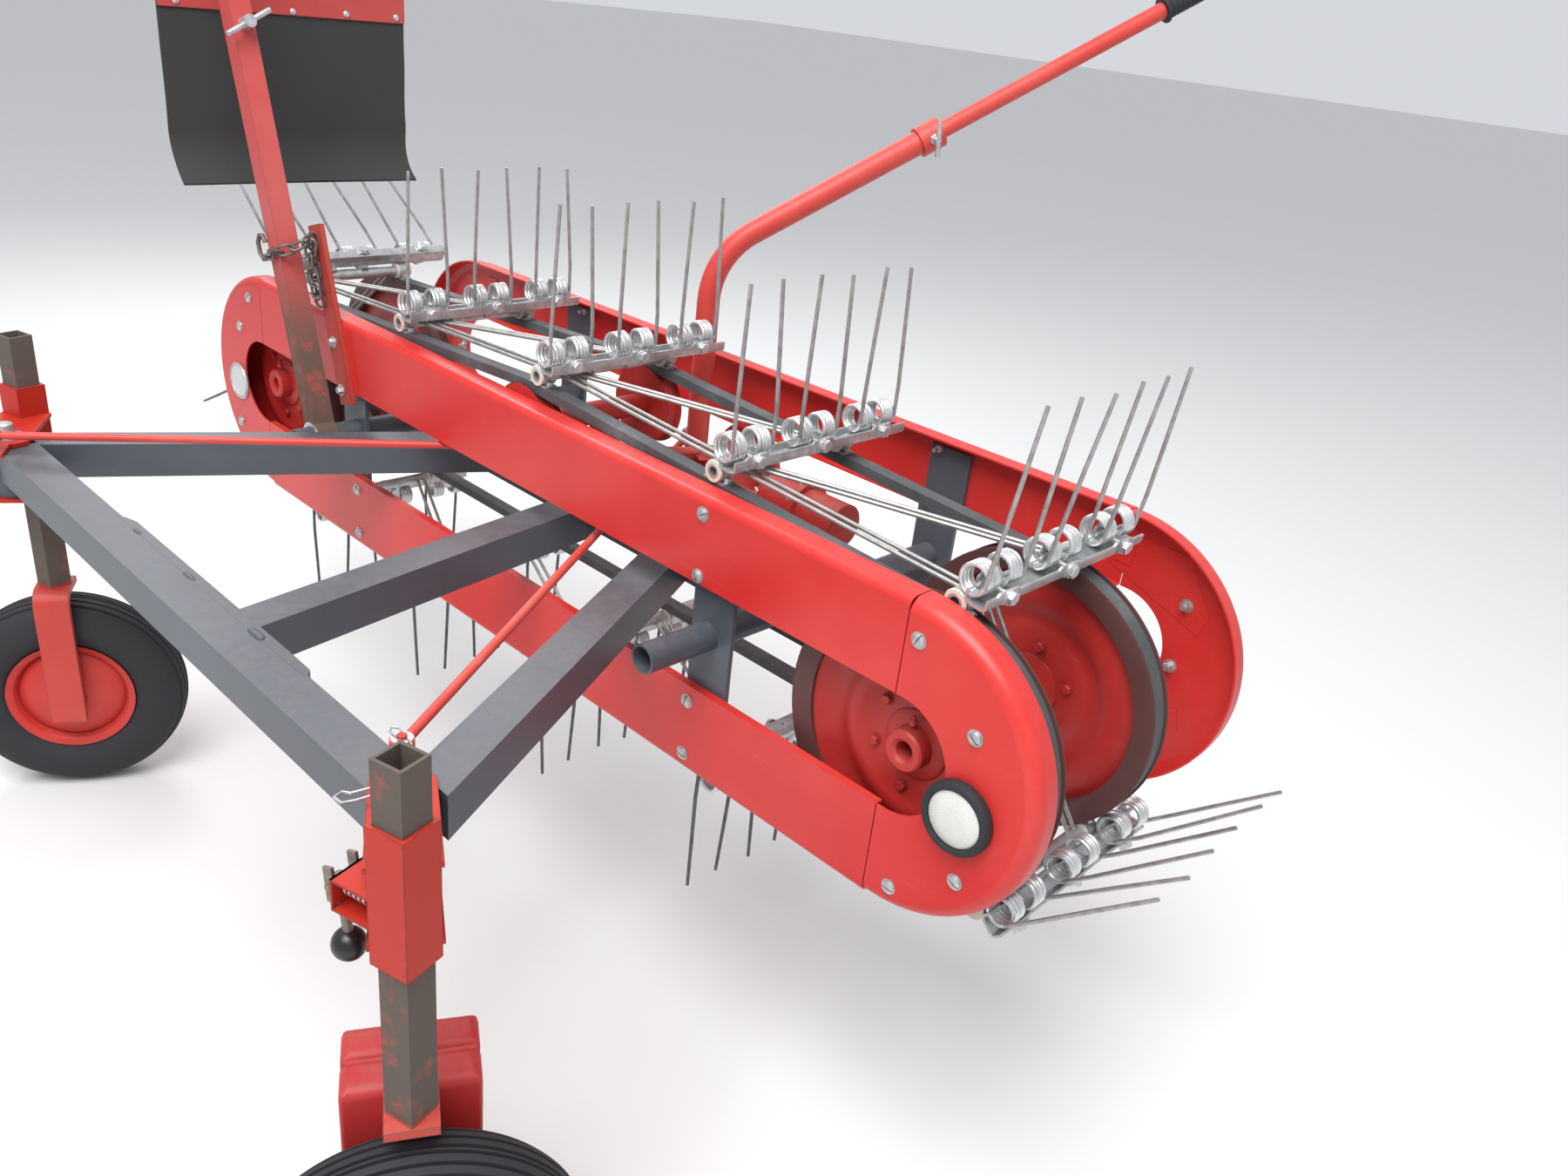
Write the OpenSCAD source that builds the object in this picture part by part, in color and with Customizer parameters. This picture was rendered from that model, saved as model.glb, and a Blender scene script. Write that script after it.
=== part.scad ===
// Belt hay rake carried in front of a single-axle walking tractor.
// Frame: origin at the centre of the rear coupling flange, X along the rake,
// Y towards the tractor, Z up. The ring-shaped hoods are drawn from their own
// middle on the front face plane, then placed by placed().

/* [Hood rings] */
// distance from the middle to the centre of a hood's round end, mm
hood_cx = 863; // [800:1:960]
// outer radius of a hood's round end, half the hood's height, mm
hood_r = 226; // [180:1:260]
// depth of the hoods' outer rim, mm
hood_rim = 40; // [25:1:60]
// outer bend radius round a hood's end, mm
cap_bend = 20; // [8:1:30]
// sheet thickness of the hoods, mm
hood_t = 3; // [2:0.5:5]
// top of the hoods' long window above the middle, mm
window_top = 92; // [70:1:110]
// bottom of the hoods' long window below the middle, mm
window_low = 78; // [60:1:110]
// distance between the faces of the front and rear hood, mm
hood_gap = 560; // [480:1:640]
// how much shorter the rear hood is at each end, mm
rear_in = 0; // [0:1:60]

/* [Belts and pulleys] */
// distance of an end pulley's axis outside the centre of the hood's round end, mm
pulley_out = 5; // [-30:1:8]
// how far the belts' middle line lies inside the hood's outer radius, mm
belt_in = 26; // [22:1:60]
// belt width, mm
belt_w = 25; // [16:1:40]
// belt thickness, mm
belt_t = 16; // [10:1:20]
// front belt's distance behind the front face, mm
belt_y1 = 57; // [40:1:80]
// rear belt's distance behind the front face, mm
belt_y2 = 315; // [260:1:360]
// height of the middle drive pulleys' axis, mm
drive_z = 172; // [140:1:190]
// radius of the belts' middle line on the drive pulleys, mm
drive_r = 73; // [50:1:90]

/* [Tine bars] */
// length of a tine bar's channel, mm
bar_len = 376; // [300:1:420]
// tine bar's axle tube radius, mm
bar_tube_r = 11; // [8:0.5:15]
// tine wire radius, mm
wire_r = 3.2; // [2:0.1:5]
// coil mean radius, mm
coil_r = 19; // [12:0.5:26]
// height of the tine tips above the bar's axle tube, mm
tip_h = 275; // [200:1:320]

/* [Castors] */
// distance from the middle to a castor's pivot, mm
pivot_x = 629; // [560:1:700]
// distance of the castor pivots before the front face, mm
pivot_y = 551; // [530:1:570]
// pivot to stem distance, mm
trail = 128; // [110:1:160]
// distance of a wheel's middle plane outside its stem, mm
wheel_out = 24; // [15:1:40]
// steering turned from straight ahead, degrees, negative is to the right
steer = -30; // [-40:1:40]
// tyre radius, mm
tyre_r = 203; // [180:1:230]
// tyre width, mm
tyre_w = 104; // [90:1:120]
// wheel centre below the hoods' middle, mm
hub_drop = 525; // [400:1:600]
// arm of the steering linkage, mm
link_arm = 71; // [50:1:90]

/* [Curtain arm] */
// lean of the curtain arm from upright, degrees
arm_lean = 17.7; // [0:0.1:40]
// length of the curtain arm, mm
arm_len = 985; // [800:1:1100]

/* [Hidden] */
$fn = 48;
e = 0.01;
red = [0.78, 0.10, 0.08];
slate = [0.24, 0.26, 0.30];
zinc = [0.66, 0.67, 0.66];
dark = [0.10, 0.10, 0.11];
steel = [0.42, 0.38, 0.34];
cream = [0.80, 0.77, 0.70];
white = [0.90, 0.90, 0.88];

pulley_cx = hood_cx + pulley_out;
belt_r = hood_r - belt_in;
rear_cx = hood_cx - rear_in;
// straight length of a hood's end before its round part
seam_in = 5;
bend_r = 12;
// lamp and reflector on the front face
marker_x = hood_cx + 121;
marker_z = -22;
lamp_r = 42;
reflector_r = 36;
side_x = 504;
cross_y = 545;
carrier_y = 150;
beam_x1 = pivot_x - 4;
beam_x2 = 277;
mid_x1 = 170;
mid_x2 = 60;
post_y = 445;
deck_z = 46;
frame_drop = 60;
plate_top = 58;
plate_low = -52;
sleeve_top = 106;
sleeve_low = -68;
stem_top_left = 194;
stem_top_right = 182;
stem_low = -283;
stem_w = 40;
sleeve_w = 51;
fork_w = 60;
fork_t = 12;
// inner face of the fork's upright, from the stem's axis
fork_x = 38;
weight_low = -483;
weight_top = -303;
arm_y = -58;
arm_z = 10;
stub_len = 110;
stub_bore = 19;
post_h = 345;
lever_bend = 150;
lever_rise = 31;
rod_zl = 82;
rod_zr = 64.5;
// half height of the rods' eyes, and radius of the pin that the lever turns on
eye_h = 7;
lever_pin = 14;
// hinge tube of the curtain on the arm's outer side, from the arm's hub
hinge_r = 12;
hinge_dx = -32 * cos(arm_lean) - (arm_len - 15) * sin(arm_lean);
hinge_dz = -32 * sin(arm_lean) + (arm_len - 15) * cos(arm_lean);
curtain_y1 = -150;
curtain_y2 = 335;

// slope of the upper run, tangent to an end pulley and the drive pulley
run_l = norm([pulley_cx, drive_z]);
slope = atan(drive_z / pulley_cx) - asin((belt_r - drive_r) / run_l);

// distance of a tine bar's axle tube from the belts' middle line
bar_seat = 16;
bar_gap = belt_t / 2 + bar_seat;
bar_r = belt_r + bar_gap;

// height over x of the upper run's bars
function upper_z(x) = bar_r / cos(slope) + (pulley_cx - abs(x)) * tan(slope);

// place of a tine bar: [x, z] from its run and its x, or from its angle round an end pulley
function bar_place(b) =
    b[0] == "upper" ? [b[1], upper_z(b[1])] :
    b[0] == "lower" ? [b[1], -bar_r] :
    b[0] == "right" ? [pulley_cx + bar_r * cos(b[1]), bar_r * sin(b[1])] :
    [-pulley_cx + bar_r * cos(b[1]), bar_r * sin(b[1])];

// columns: run, x or angle round the pulley, direction of the tines from +X in degrees
bars = [
    ["right", 84, 82],
    ["upper", 457, 90],
    ["upper", 35, 90],
    ["upper", -388, 91],
    ["upper", -848, 145],
    ["left", 205, 205],
    ["lower", -740, 268],
    ["lower", -330, 267],
    ["lower", 100, 268],
    ["lower", 515, 268],
    ["right", -52, 42]
];

// front end of the bars behind the front face
bar_y = 42;
// middles of the double spring tines along a bar, and each coil's distance from them
spring_at = [44, 182, 320];
spring_half = 30;
coil_pitch = 6.2;
// coil centre and the channel's middle beside and above the axle tube
coil_x = 12;
coil_z = 38;
channel_x = 27;

// moves the rings' own frame to the coupling
module placed() {
    translate([0, -600, 0]) children();
}

// round bar between two points
module rod(a, b, r) {
    d = b - a;
    l = norm(d);
    translate(a)
        rotate([0, acos(d[2] / l), atan2(d[1], d[0])])
            cylinder(h = l, r = r);
}

// cylinder along Y from y0 to y1
module cyl_y(x, z, y0, y1, r) {
    translate([x, y0, z])
        rotate([-90, 0, 0])
            cylinder(h = y1 - y0, r = r);
}

// box from two corners
module slab(a, b) {
    translate(a) cube(b - a);
}

// plan of a beam between two points, ends cut along X
module beam_plan(a, b, w) {
    s = w / 2 / abs(cos(atan2(b[0] - a[0], b[1] - a[1])));
    polygon([[a[0] - s, a[1]], [a[0] + s, a[1]], [b[0] + s, b[1]], [b[0] - s, b[1]]]);
}

// hollow beam, top at deck_z
module beam(a, b, w, t) {
    difference() {
        translate([0, 0, deck_z - frame_drop])
            linear_extrude(frame_drop) beam_plan(a, b, w);
        translate([0, 0, deck_z - frame_drop + t])
            linear_extrude(frame_drop - 2 * t)
                beam_plan(a + [0, t, 0], b - [0, t, 0], w - 2 * t);
    }
}

// quarter of a ring in the first quadrant
module quarter(ro, ri) {
    intersection() {
        difference() {
            circle(ro);
            circle(ri);
        }
        square(ro + 1);
    }
}

// rim section of a hood: x is the depth, y the height from the outer edge, 0 down
module rim_section(bend) {
    translate([bend, -hood_t]) square([hood_rim - bend, hood_t]);
    translate([bend, -bend]) mirror([1, 0]) quarter(bend, bend - hood_t);
}

// straight channel of a hood between x0 and x1, outer edge at zo, inner edge at zi, lip inwards
module channel(zo, zi, cx) {
    up = zo > zi ? 1 : -1;
    seam_x = cx - seam_in;
    translate([-seam_x + 1, 0, 0])
        rotate([90, 0, 90])
            linear_extrude(2 * seam_x - 2) {
                translate([0, zo]) scale([1, up]) rim_section(bend_r);
                translate([0, up > 0 ? zi + 4 : zo + bend_r])
                    square([hood_t, abs(zo - zi) - bend_r - 4]);
                translate([0, zi]) scale([1, up]) {
                    square([14, hood_t]);
                    square([hood_t, 5]);
                }
            }
}

// half section of a hood's end, from its middle to its rim, depth upwards
module cap_section() {
    square([hood_r - cap_bend, hood_t]);
    mirror([1, -1]) translate([0, hood_r]) rim_section(cap_bend);
}

// round end of a hood at the right side, its centre at cx, with two tabs behind the channels
module cap(cx) {
    straight = seam_in - 1;
    pulley_dx = pulley_cx - cx;
    for (z = [130, -190]) translate([cx - seam_in, 0, z]) {
        slab([2, hood_t - 1, 0], [12, hood_t + 2, 60]);
        slab([-25, hood_t, 0], [12, hood_t + 2, 60]);
    }
    translate([cx, 0, 0]) rotate([-90, 0, 0]) difference() {
        union() {
            rotate([0, 0, -90]) rotate_extrude(angle = 180) cap_section();
            translate([-straight, 0, 0]) rotate([90, 0, 90]) linear_extrude(straight) {
                cap_section();
                mirror([1, 0]) cap_section();
            }
        }
        translate([pulley_dx, -7, -1])
            cylinder(h = hood_t + 2, r = (window_top + window_low) / 2);
        translate([-100, -window_top, -1])
            cube([100 + pulley_dx, window_top + window_low, hood_t + 2]);
    }
}

// puts a hood part on the rear ring, facing forwards
module to_rear() {
    translate([0, hood_gap, 0]) mirror([0, 1, 0]) children();
}

module front_upper_channel() {
    color(red) placed() channel(hood_r, window_top, hood_cx);
}

module front_lower_channel() {
    color(red) placed() channel(-hood_r, -window_low, hood_cx);
}

module front_left_cap() {
    color(red) placed() mirror([1, 0, 0]) cap(hood_cx);
}

module front_right_cap() {
    color(red) placed() cap(hood_cx);
}

module rear_upper_channel() {
    color(red) placed() to_rear() channel(hood_r, window_top, rear_cx);
}

module rear_lower_channel() {
    color(red) placed() to_rear() channel(-hood_r, -window_low, rear_cx);
}

module rear_left_cap() {
    color(red) placed() to_rear() mirror([1, 0, 0]) cap(rear_cx);
}

module rear_right_cap() {
    color(red) placed() to_rear() cap(rear_cx);
}

module marker_lamp() {
    color(white) placed() cyl_y(marker_x, marker_z, -16, 0, lamp_r);
}

module reflector() {
    color(white) placed() cyl_y(-marker_x, marker_z, -7, 0, reflector_r);
}

// red flat bar on the front face that the curtain's chain hooks on
module hook_bar() {
    color(red) placed() translate([-498, -10, 68]) rotate([0, -16, 0])
        translate([-22, 0, 0]) cube([44, 10, 332]);
}

// one bent plate of a side frame, its feet on the hood's sheet and its middle behind the lips
module frame_plate() {
    for (z = [window_top + 8, -window_low - 16]) slab([470, hood_t, z], [552, 22, z + 8]);
    slab([470, 14.3, -window_low - 16], [552, 22, window_top + 16]);
    slab([470, hood_t, window_top + 8], [552, hood_t + 8, 205]);
    slab([470, hood_t, -205], [552, hood_t + 8, -window_low - 8]);
}

// side frame: front and rear plates, the cross tube between them and the front stub
module side_frame() {
    frame_plate();
    translate([0, hood_gap, 0]) mirror([0, 1, 0]) frame_plate();
    difference() {
        union() {
            cyl_y(side_x, arm_z, 22, hood_gap - 22, 22.5);
            cyl_y(side_x, arm_z, -stub_len, 14.3, 22.5);
        }
        cyl_y(side_x, arm_z, 30, hood_gap - 30, 19);
        cyl_y(side_x, arm_z, -stub_len - 1, 10, stub_bore);
    }
}

module left_side_frame() {
    color(slate) placed() mirror([1, 0, 0]) side_frame();
}

module right_side_frame() {
    color(slate) placed() side_frame();
}

// carrier inside the belt loop with the end pulleys' axle holders
module inner_carrier() {
    color(slate) placed() {
        difference() {
            slab([-pulley_cx + 34, carrier_y, -20], [pulley_cx - 34, carrier_y + 60, 40]);
            slab([-pulley_cx + 38, carrier_y + 4, -16], [pulley_cx - 38, carrier_y + 56, 36]);
            for (s = [-1, 1]) cyl_y(s * side_x, arm_z, 140, 220, 22.5);
        }
        for (s = [-1, 1]) difference() {
            cyl_y(s * pulley_cx, 0, 110, 260, 36);
            cyl_y(s * pulley_cx, 0, 109, 261, 20);
        }
    }
}

// gearbox beside the neck: low tube from the neck, round housing and its split flange
module drive_gearbox() {
    color(red) placed() {
        translate([40, 430, 5]) rotate([0, 90, 0]) cylinder(h = 190, r = 28);
        translate([222, 430, 48]) rotate([0, 90, 0]) cylinder(h = 177, r = 40);
        translate([300, 430, 48]) rotate([0, 90, 0]) cylinder(h = 14, r = 50);
    }
}

// neck between the inner carrier and the tractor's coupling, with the flange and the
// spindle that the steering lever turns on
module coupling_neck() {
    color(red) placed() {
        difference() {
            union() {
                difference() {
                    slab([-40, 210, -40], [40, 586, 40]);
                    slab([-35, 215, -35], [35, 581, 35]);
                }
                translate([0, post_y, -38]) cylinder(h = 76, r = 22);
                translate([0, post_y, 39]) cylinder(h = 8.7, r = 26);
            }
            translate([0, post_y, -41]) cylinder(h = 90, r = lever_pin + 0.05);
        }
        difference() {
            cyl_y(0, 0, 586, 600, 85);
            cyl_y(0, 0, 585, 601, 20);
            for (a = [45, 135, 225, 315])
                cyl_y(60 * cos(a), 60 * sin(a), 585, 601, 7);
        }
    }
}

module front_crossbeam() {
    color(slate) placed() {
        difference() {
            slab([-pivot_x + 28, -cross_y - 30, deck_z - frame_drop],
                [pivot_x - 28, -cross_y + 30, deck_z]);
            slab([-pivot_x + 32, -cross_y - 26, deck_z - frame_drop + 4],
                [pivot_x - 32, -cross_y + 26, deck_z - 4]);
            for (s = [-1, 1]) translate([s * pivot_x, -pivot_y, -50]) cylinder(h = 100, r = 32);
        }
        for (s = [-1, 1]) translate([s * pivot_x, -pivot_y, 0]) difference() {
            translate([0, 0, -44]) cylinder(h = deck_z + 44, r = 32);
            translate([0, 0, -45]) cylinder(h = deck_z + 46, r = 15);
        }
    }
}

// outer beam at the right side, kept clear of the castor's pivot tube
module side_beam() {
    difference() {
        beam([beam_x1, 30 - cross_y, 0], [beam_x2, carrier_y, 0], 60, 4);
        translate([pivot_x, -pivot_y, -50]) cylinder(h = 100, r = 32.2);
    }
}

module left_beam() {
    color(slate) placed() mirror([1, 0, 0]) side_beam();
}

module middle_beam() {
    color(slate) placed() beam([mid_x1, 30 - cross_y, 0], [mid_x2, carrier_y, 0], 60, 4);
}

module right_beam() {
    color(slate) placed() side_beam();
}

// outline round the pulleys, out from the belts' middle line; the straight runs
// pass 0.02 mm inside the tangents, so that they cut the circles cleanly
module belt_outline(out) {
    r = belt_r + out;
    q = r - 0.02;
    d = drive_r + out - 0.02;
    union() {
        for (s = [-1, 1]) translate([s * pulley_cx, 0]) circle(r);
        translate([0, drive_z]) circle(drive_r + out);
        polygon([[pulley_cx, -q], [pulley_cx + q * sin(slope), q * cos(slope)],
            [d * sin(slope), drive_z + d * cos(slope)],
            [-d * sin(slope), drive_z + d * cos(slope)],
            [-pulley_cx - q * sin(slope), q * cos(slope)], [-pulley_cx, -q]]);
    }
}

module belt(y) {
    translate([0, y + belt_w / 2, 0]) rotate([90, 0, 0]) linear_extrude(belt_w)
        difference() {
            belt_outline(belt_t / 2);
            belt_outline(-belt_t / 2);
        }
}

module front_belt() {
    color(dark) placed() belt(belt_y1);
}

module rear_belt() {
    color(dark) placed() belt(belt_y2);
}

// end pulley section: x is the radius, y runs across the rim
module pulley_section() {
    b = belt_r - belt_t / 2 - 0.3;
    w = belt_w / 2 + 0.3;
    polygon([[19, -34], [36, -34], [36, -8], [80, -4], [120, -12], [160, -4], [b - 12, -8],
        [b - 12, -w - 2], [b + 19, -w - 5], [b + 19, -w - 2], [b, -w], [b, w], [b + 19, w + 2],
        [b + 19, w + 5], [b - 12, w + 2], [b - 12, 0], [160, 3], [120, -5], [80, 3], [36, 0],
        [36, 14], [19, 14]]);
}

// pair of end pulleys on their axle
module pulley_pair() {
    for (y = [belt_y1, belt_y2]) translate([pulley_cx, y, 0])
        rotate([90, 0, 0]) rotate_extrude() scale([1, y == belt_y1 ? -1 : -1]) pulley_section();
    cyl_y(pulley_cx, 0, 20, belt_y2 + 40, 19.7);
}

module left_pulleys() {
    color(red) placed() mirror([1, 0, 0]) pulley_pair();
}

module right_pulleys() {
    color(red) placed() pulley_pair();
}

module drive_pulleys() {
    color(red) placed() {
        for (y = [belt_y1, belt_y2]) translate([0, y, drive_z]) rotate([90, 0, 0])
            rotate_extrude() polygon([[0, -16], [drive_r, -16],
                [drive_r - belt_t / 2 - 0.3, -belt_w / 2 - 0.3],
                [drive_r - belt_t / 2 - 0.3, belt_w / 2 + 0.3],
                [drive_r, 16], [0, 16]]);
        cyl_y(0, drive_z, belt_y1 + 15, belt_y2 - 15, 20);
        slab([-22, 200, 40], [22, 235, drive_z - 15]);
    }
}

// one coil and its leg of a spring tine, outward is +Z, the leg on the coil's side towards +X
module tine(y, side) {
    difference() {
        cyl_y(coil_x, coil_z, y - 2 * coil_pitch, y + 2 * coil_pitch, coil_r + wire_r);
        cyl_y(coil_x, coil_z, y - 2 * coil_pitch - 1, y + 2 * coil_pitch + 1, coil_r - wire_r);
    }
    rod([coil_x - 2 + coil_r, y + side * 1.5 * coil_pitch, coil_z - 4],
        [coil_x + coil_r, y + side * 1.5 * coil_pitch, tip_h], wire_r - 0.2);
}

// saddle that holds the axle tube on a belt
module clamp(y) {
    difference() {
        union() {
            slab([-19, y - 14, -bar_seat], [19, y + 14, 2]);
            cyl_y(0, 0, y - 14, y + 14, 16);
        }
        slab([-30, y - 15, -bar_seat - 30], [30, y + 15, -bar_seat]);
    }
}

// one bar along Y: axle tube, lugs, channel beside it, springs; outward is +Z
module tine_bar() {
    cyl_y(0, 0, 0, belt_y2 - bar_y + 20, bar_tube_r);
    for (y = [110, 182]) slab([0, y - 8, -4], [20, y + 8, 12]);
    translate([channel_x, bar_len, 8]) rotate([90, 0, 0]) linear_extrude(bar_len)
        polygon([[-9, 0], [9, 0], [17, 4], [17, 22], [13, 22], [13, 6], [-13, 6], [-13, 22],
            [-17, 22], [-17, 4]]);
    for (y = spring_at) {
        slab([channel_x - 25, y - 14, 18], [channel_x - 16, y + 14, 42]);
        translate([channel_x - 25, y, 22]) rotate([0, 90, 0]) cylinder(h = 45, r = 5);
        translate([channel_x + 17, y, 22]) rotate([0, 90, 0]) cylinder(h = 9, r = 10);
        tine(y - spring_half, -1);
        tine(y + spring_half, 1);
    }
}

// tine bar i on the belts; its clamps face the belt, whatever way its tines point
module bar_at(i) {
    p = bar_place(bars[i]);
    // outward direction of the belt under the bar
    n = bars[i][0] == "upper" ? 90 - sign(bars[i][1]) * slope :
        bars[i][0] == "lower" ? 270 : bars[i][1];
    translate([p[0], bar_y, p[1]]) {
        rotate([0, 90 - bars[i][2], 0]) tine_bar();
        rotate([0, 90 - n, 0]) for (y = [belt_y1, belt_y2]) clamp(y - bar_y);
    }
}

module tine_bar_1() {
    color(zinc) placed() bar_at(0);
}

module tine_bar_2() {
    color(zinc) placed() bar_at(1);
}

module tine_bar_3() {
    color(zinc) placed() bar_at(2);
}

module tine_bar_4() {
    color(zinc) placed() bar_at(3);
}

module tine_bar_5() {
    color(zinc) placed() bar_at(4);
}

module tine_bar_6() {
    color(zinc) placed() bar_at(5);
}

module tine_bar_7() {
    color(zinc) placed() bar_at(6);
}

module tine_bar_8() {
    color(zinc) placed() bar_at(7);
}

module tine_bar_9() {
    color(zinc) placed() bar_at(8);
}

module tine_bar_10() {
    color(zinc) placed() bar_at(9);
}

module tine_bar_11() {
    color(zinc) placed() bar_at(10);
}

// paired rods between neighbouring bars: along the front and from the rear to the next front
module tie_rods() {
    color(zinc) placed() for (i = [0:10]) {
        pa = bar_place(bars[i]);
        pb = bar_place(bars[(i + 1) % 11]);
        a = [pa[0], 0, pa[1]];
        b = [pb[0], 0, pb[1]];
        u = (b - a) / norm(b - a);
        for (k = [0, 16]) {
            rod(a + u * (bar_tube_r - 0.01) + [0, 81 + k, 0], b - u * (bar_tube_r - 0.01) + [0, 81 + k, 0], 3.2);
            rod(a + u * (bar_tube_r - 0.01) + [0, 291 - k, 0], b - u * (bar_tube_r - 0.01) + [0, 121 - k, 0], 3.2);
        }
    }
}

// lever: post, bend and sloping tube; x to the right, y backwards along the lever
module steering_lever() {
    color(red) placed() translate([0, post_y, 0]) rotate([0, 0, steer]) {
        translate([0, 0, -46]) cylinder(h = deck_z + 50, r = lever_pin);
        translate([0, 0, -52]) cylinder(h = 11, r = 19, $fn = 6);
        translate([0, 0, deck_z + 2]) cylinder(h = post_h - deck_z - 1, r = 21);
        slab([0, -14, rod_zl - 14], [link_arm + 14, 14, rod_zl - eye_h - 0.3]);
        slab([-link_arm - 14, -14, rod_zr - 15.5], [0, 14, rod_zr - eye_h - 0.3]);
        translate([link_arm, 0, rod_zl - 12]) cylinder(h = 24, r = 6);
        translate([-link_arm, 0, rod_zr - 12]) cylinder(h = 24, r = 6);
        translate([0, lever_bend, post_h]) rotate([90, 0, -90])
            rotate_extrude(angle = 90 - lever_rise) translate([lever_bend, 0]) circle(20.7);
        at_bend_end() {
            translate([0, 0, -1]) cylinder(h = 381, r = 21);
            translate([0, 0, 340]) cylinder(h = 44, r = 27);
            translate([0, 0, 379]) cylinder(h = 471, r = 15);
        }
    }
}

// puts the lever's sloping tube, drawn along Z, on the end of the bend
module at_bend_end() {
    translate([0, lever_bend, post_h]) rotate([lever_rise, 0, 0]) translate([0, 0, lever_bend])
        rotate([-90, 0, 0]) children();
}

module lever_grip() {
    color(dark) placed() translate([0, post_y, 0]) rotate([0, 0, steer])
        at_bend_end() translate([0, 0, 850.3]) cylinder(h = 125, r = 19);
}

// pivot of a castor and the steering pins, turned with the steering
function turned(x, y) = [x * cos(steer) - y * sin(steer), x * sin(steer) + y * cos(steer), 0];
pin_ll = [0, post_y, 0] + turned(link_arm, 0);
pin_lr = [0, post_y, 0] + turned(-link_arm, 0);
pin_cl = [-pivot_x, -pivot_y, 0] + turned(link_arm, 0);
pin_cr = [pivot_x, -pivot_y, 0] + turned(-link_arm, 0);

module steering_rod(a, b, z) {
    u = (b - a) / norm(b - a);
    rod(a + u * 12 + [0, 0, z], b - u * 12 + [0, 0, z], 6.5);
    for (p = [a, b]) translate(p + [0, 0, z - eye_h]) difference() {
        cylinder(h = 2 * eye_h, r = 14);
        translate([0, 0, -1]) cylinder(h = 2 * eye_h + 2, r = 6.05);
    }
}

module left_steering_rod() {
    color(red) placed() steering_rod(pin_cl, pin_ll, rod_zl);
}

module right_steering_rod() {
    color(red) placed() steering_rod(pin_cr, pin_lr, rod_zr);
}

// square tube standing on its edge
module diamond(w, z0, z1) {
    translate([0, 0, z0]) linear_extrude(z1 - z0) rotate(45) square(w, center = true);
}

// swivelling bracket with its pin and sleeve, stem side towards -X, rod's height zr
module castor_bracket(zr) {
    difference() {
        union() {
            for (z = [plate_low, deck_z + 1]) translate([0, 0, z])
                linear_extrude(7) polygon([[-trail, -39], [20, -36], [36, -20], [36, 20],
                    [20, 36], [-trail, 39]]);
            translate([-trail, 0, 0]) diamond(sleeve_w, sleeve_low, sleeve_top);
            translate([0, 0, plate_low - 8])
                cylinder(h = deck_z + 16 - plate_low + 8, r = 14.9);
            translate([link_arm, 0, deck_z + 4]) cylinder(h = zr + 12 - deck_z - 4, r = 6);
            slab([20, -13, deck_z + 1], [link_arm + 13, 13, deck_z + 8]);
        }
        translate([-trail, 0, 0]) diamond(stem_w + 1, sleeve_low - 1, sleeve_top + 1);
    }
}

// stem tube, bent flat bar beside the wheel and axle, the stem's upper end at top
module stem_fork(top) {
    bend_ro = 32;
    bend_ri = bend_ro - fork_t;
    foot_x = fork_x - bend_ri;
    translate([-trail, 0, 0]) {
        difference() {
            diamond(stem_w, stem_low - 6, top);
            diamond(stem_w - 8, stem_low + 4, top + 1);
        }
        rotate([90, 0, 0]) translate([0, 0, -fork_w / 2]) linear_extrude(fork_w) {
            translate([-30, stem_low - fork_t]) square([foot_x + 30, fork_t]);
            translate([foot_x, stem_low - bend_ro]) quarter(bend_ro, bend_ri);
            translate([fork_x, -hub_drop - 38])
                square([fork_t, hub_drop + 38 + stem_low - bend_ro]);
        }
        translate([-wheel_out, 0, -hub_drop])
            rotate([0, 90, 0]) cylinder(h = fork_x + wheel_out, r = 11.9);
    }
}

module at_left_castor() {
    placed() translate([-pivot_x, -pivot_y, 0]) rotate([0, 0, steer]) children();
}

module at_right_castor() {
    placed() translate([pivot_x, -pivot_y, 0]) rotate([0, 0, steer]) mirror([1, 0, 0]) children();
}

module wheel_rim() {
    translate([-trail - wheel_out, 0, -hub_drop]) rotate([0, 90, 0]) rotate_extrude()
        polygon([[12, -40], [30, -40], [30, -10], [100, -26], [100, -40], [113, -40], [113, -36],
            [103.7, -34], [103.7, 34], [113, 36], [113, 40], [100, 40], [100, 22], [84, 32],
            [56, 40], [34, 44], [12, 44]]);
}

module wheel_tyre() {
    translate([-trail - wheel_out, 0, -hub_drop]) rotate([0, 90, 0]) rotate_extrude() difference() {
        intersection() {
            translate([tyre_r - 54, 0]) circle(54);
            translate([104, -tyre_w / 2]) square([110, tyre_w]);
        }
        for (y = [-60, 33.8]) translate([90, y]) square([23.3, 26.2]);
    }
}

module left_castor_bracket() {
    color(red) at_left_castor() castor_bracket(rod_zl);
}

module left_castor_stem() {
    color(red) at_left_castor() stem_fork(stem_top_left);
}

module left_wheel_rim() {
    color(red) at_left_castor() wheel_rim();
}

module left_wheel_tyre() {
    color(dark) at_left_castor() wheel_tyre();
}

module right_castor_bracket() {
    color(red) at_right_castor() castor_bracket(rod_zr);
}

module right_castor_stem() {
    color(red) at_right_castor() stem_fork(stem_top_right);
}

// two weight blocks on the fork's inner side, a groove between them
module right_castor_weights() {
    color(red) at_right_castor() translate([-trail + fork_x + fork_t, 0, 0]) {
        for (x = [0, 53]) slab([x, -80, weight_low], [x + 51, 80, weight_top]);
        slab([50, -77, weight_low + 3], [54, 77, weight_top - 3]);
    }
}

module right_wheel_rim() {
    color(red) at_right_castor() wheel_rim();
}

module right_wheel_tyre() {
    color(dark) at_right_castor() wheel_tyre();
}

module at_arm() {
    placed() translate([-side_x, arm_y, arm_z]) children();
}

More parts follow.
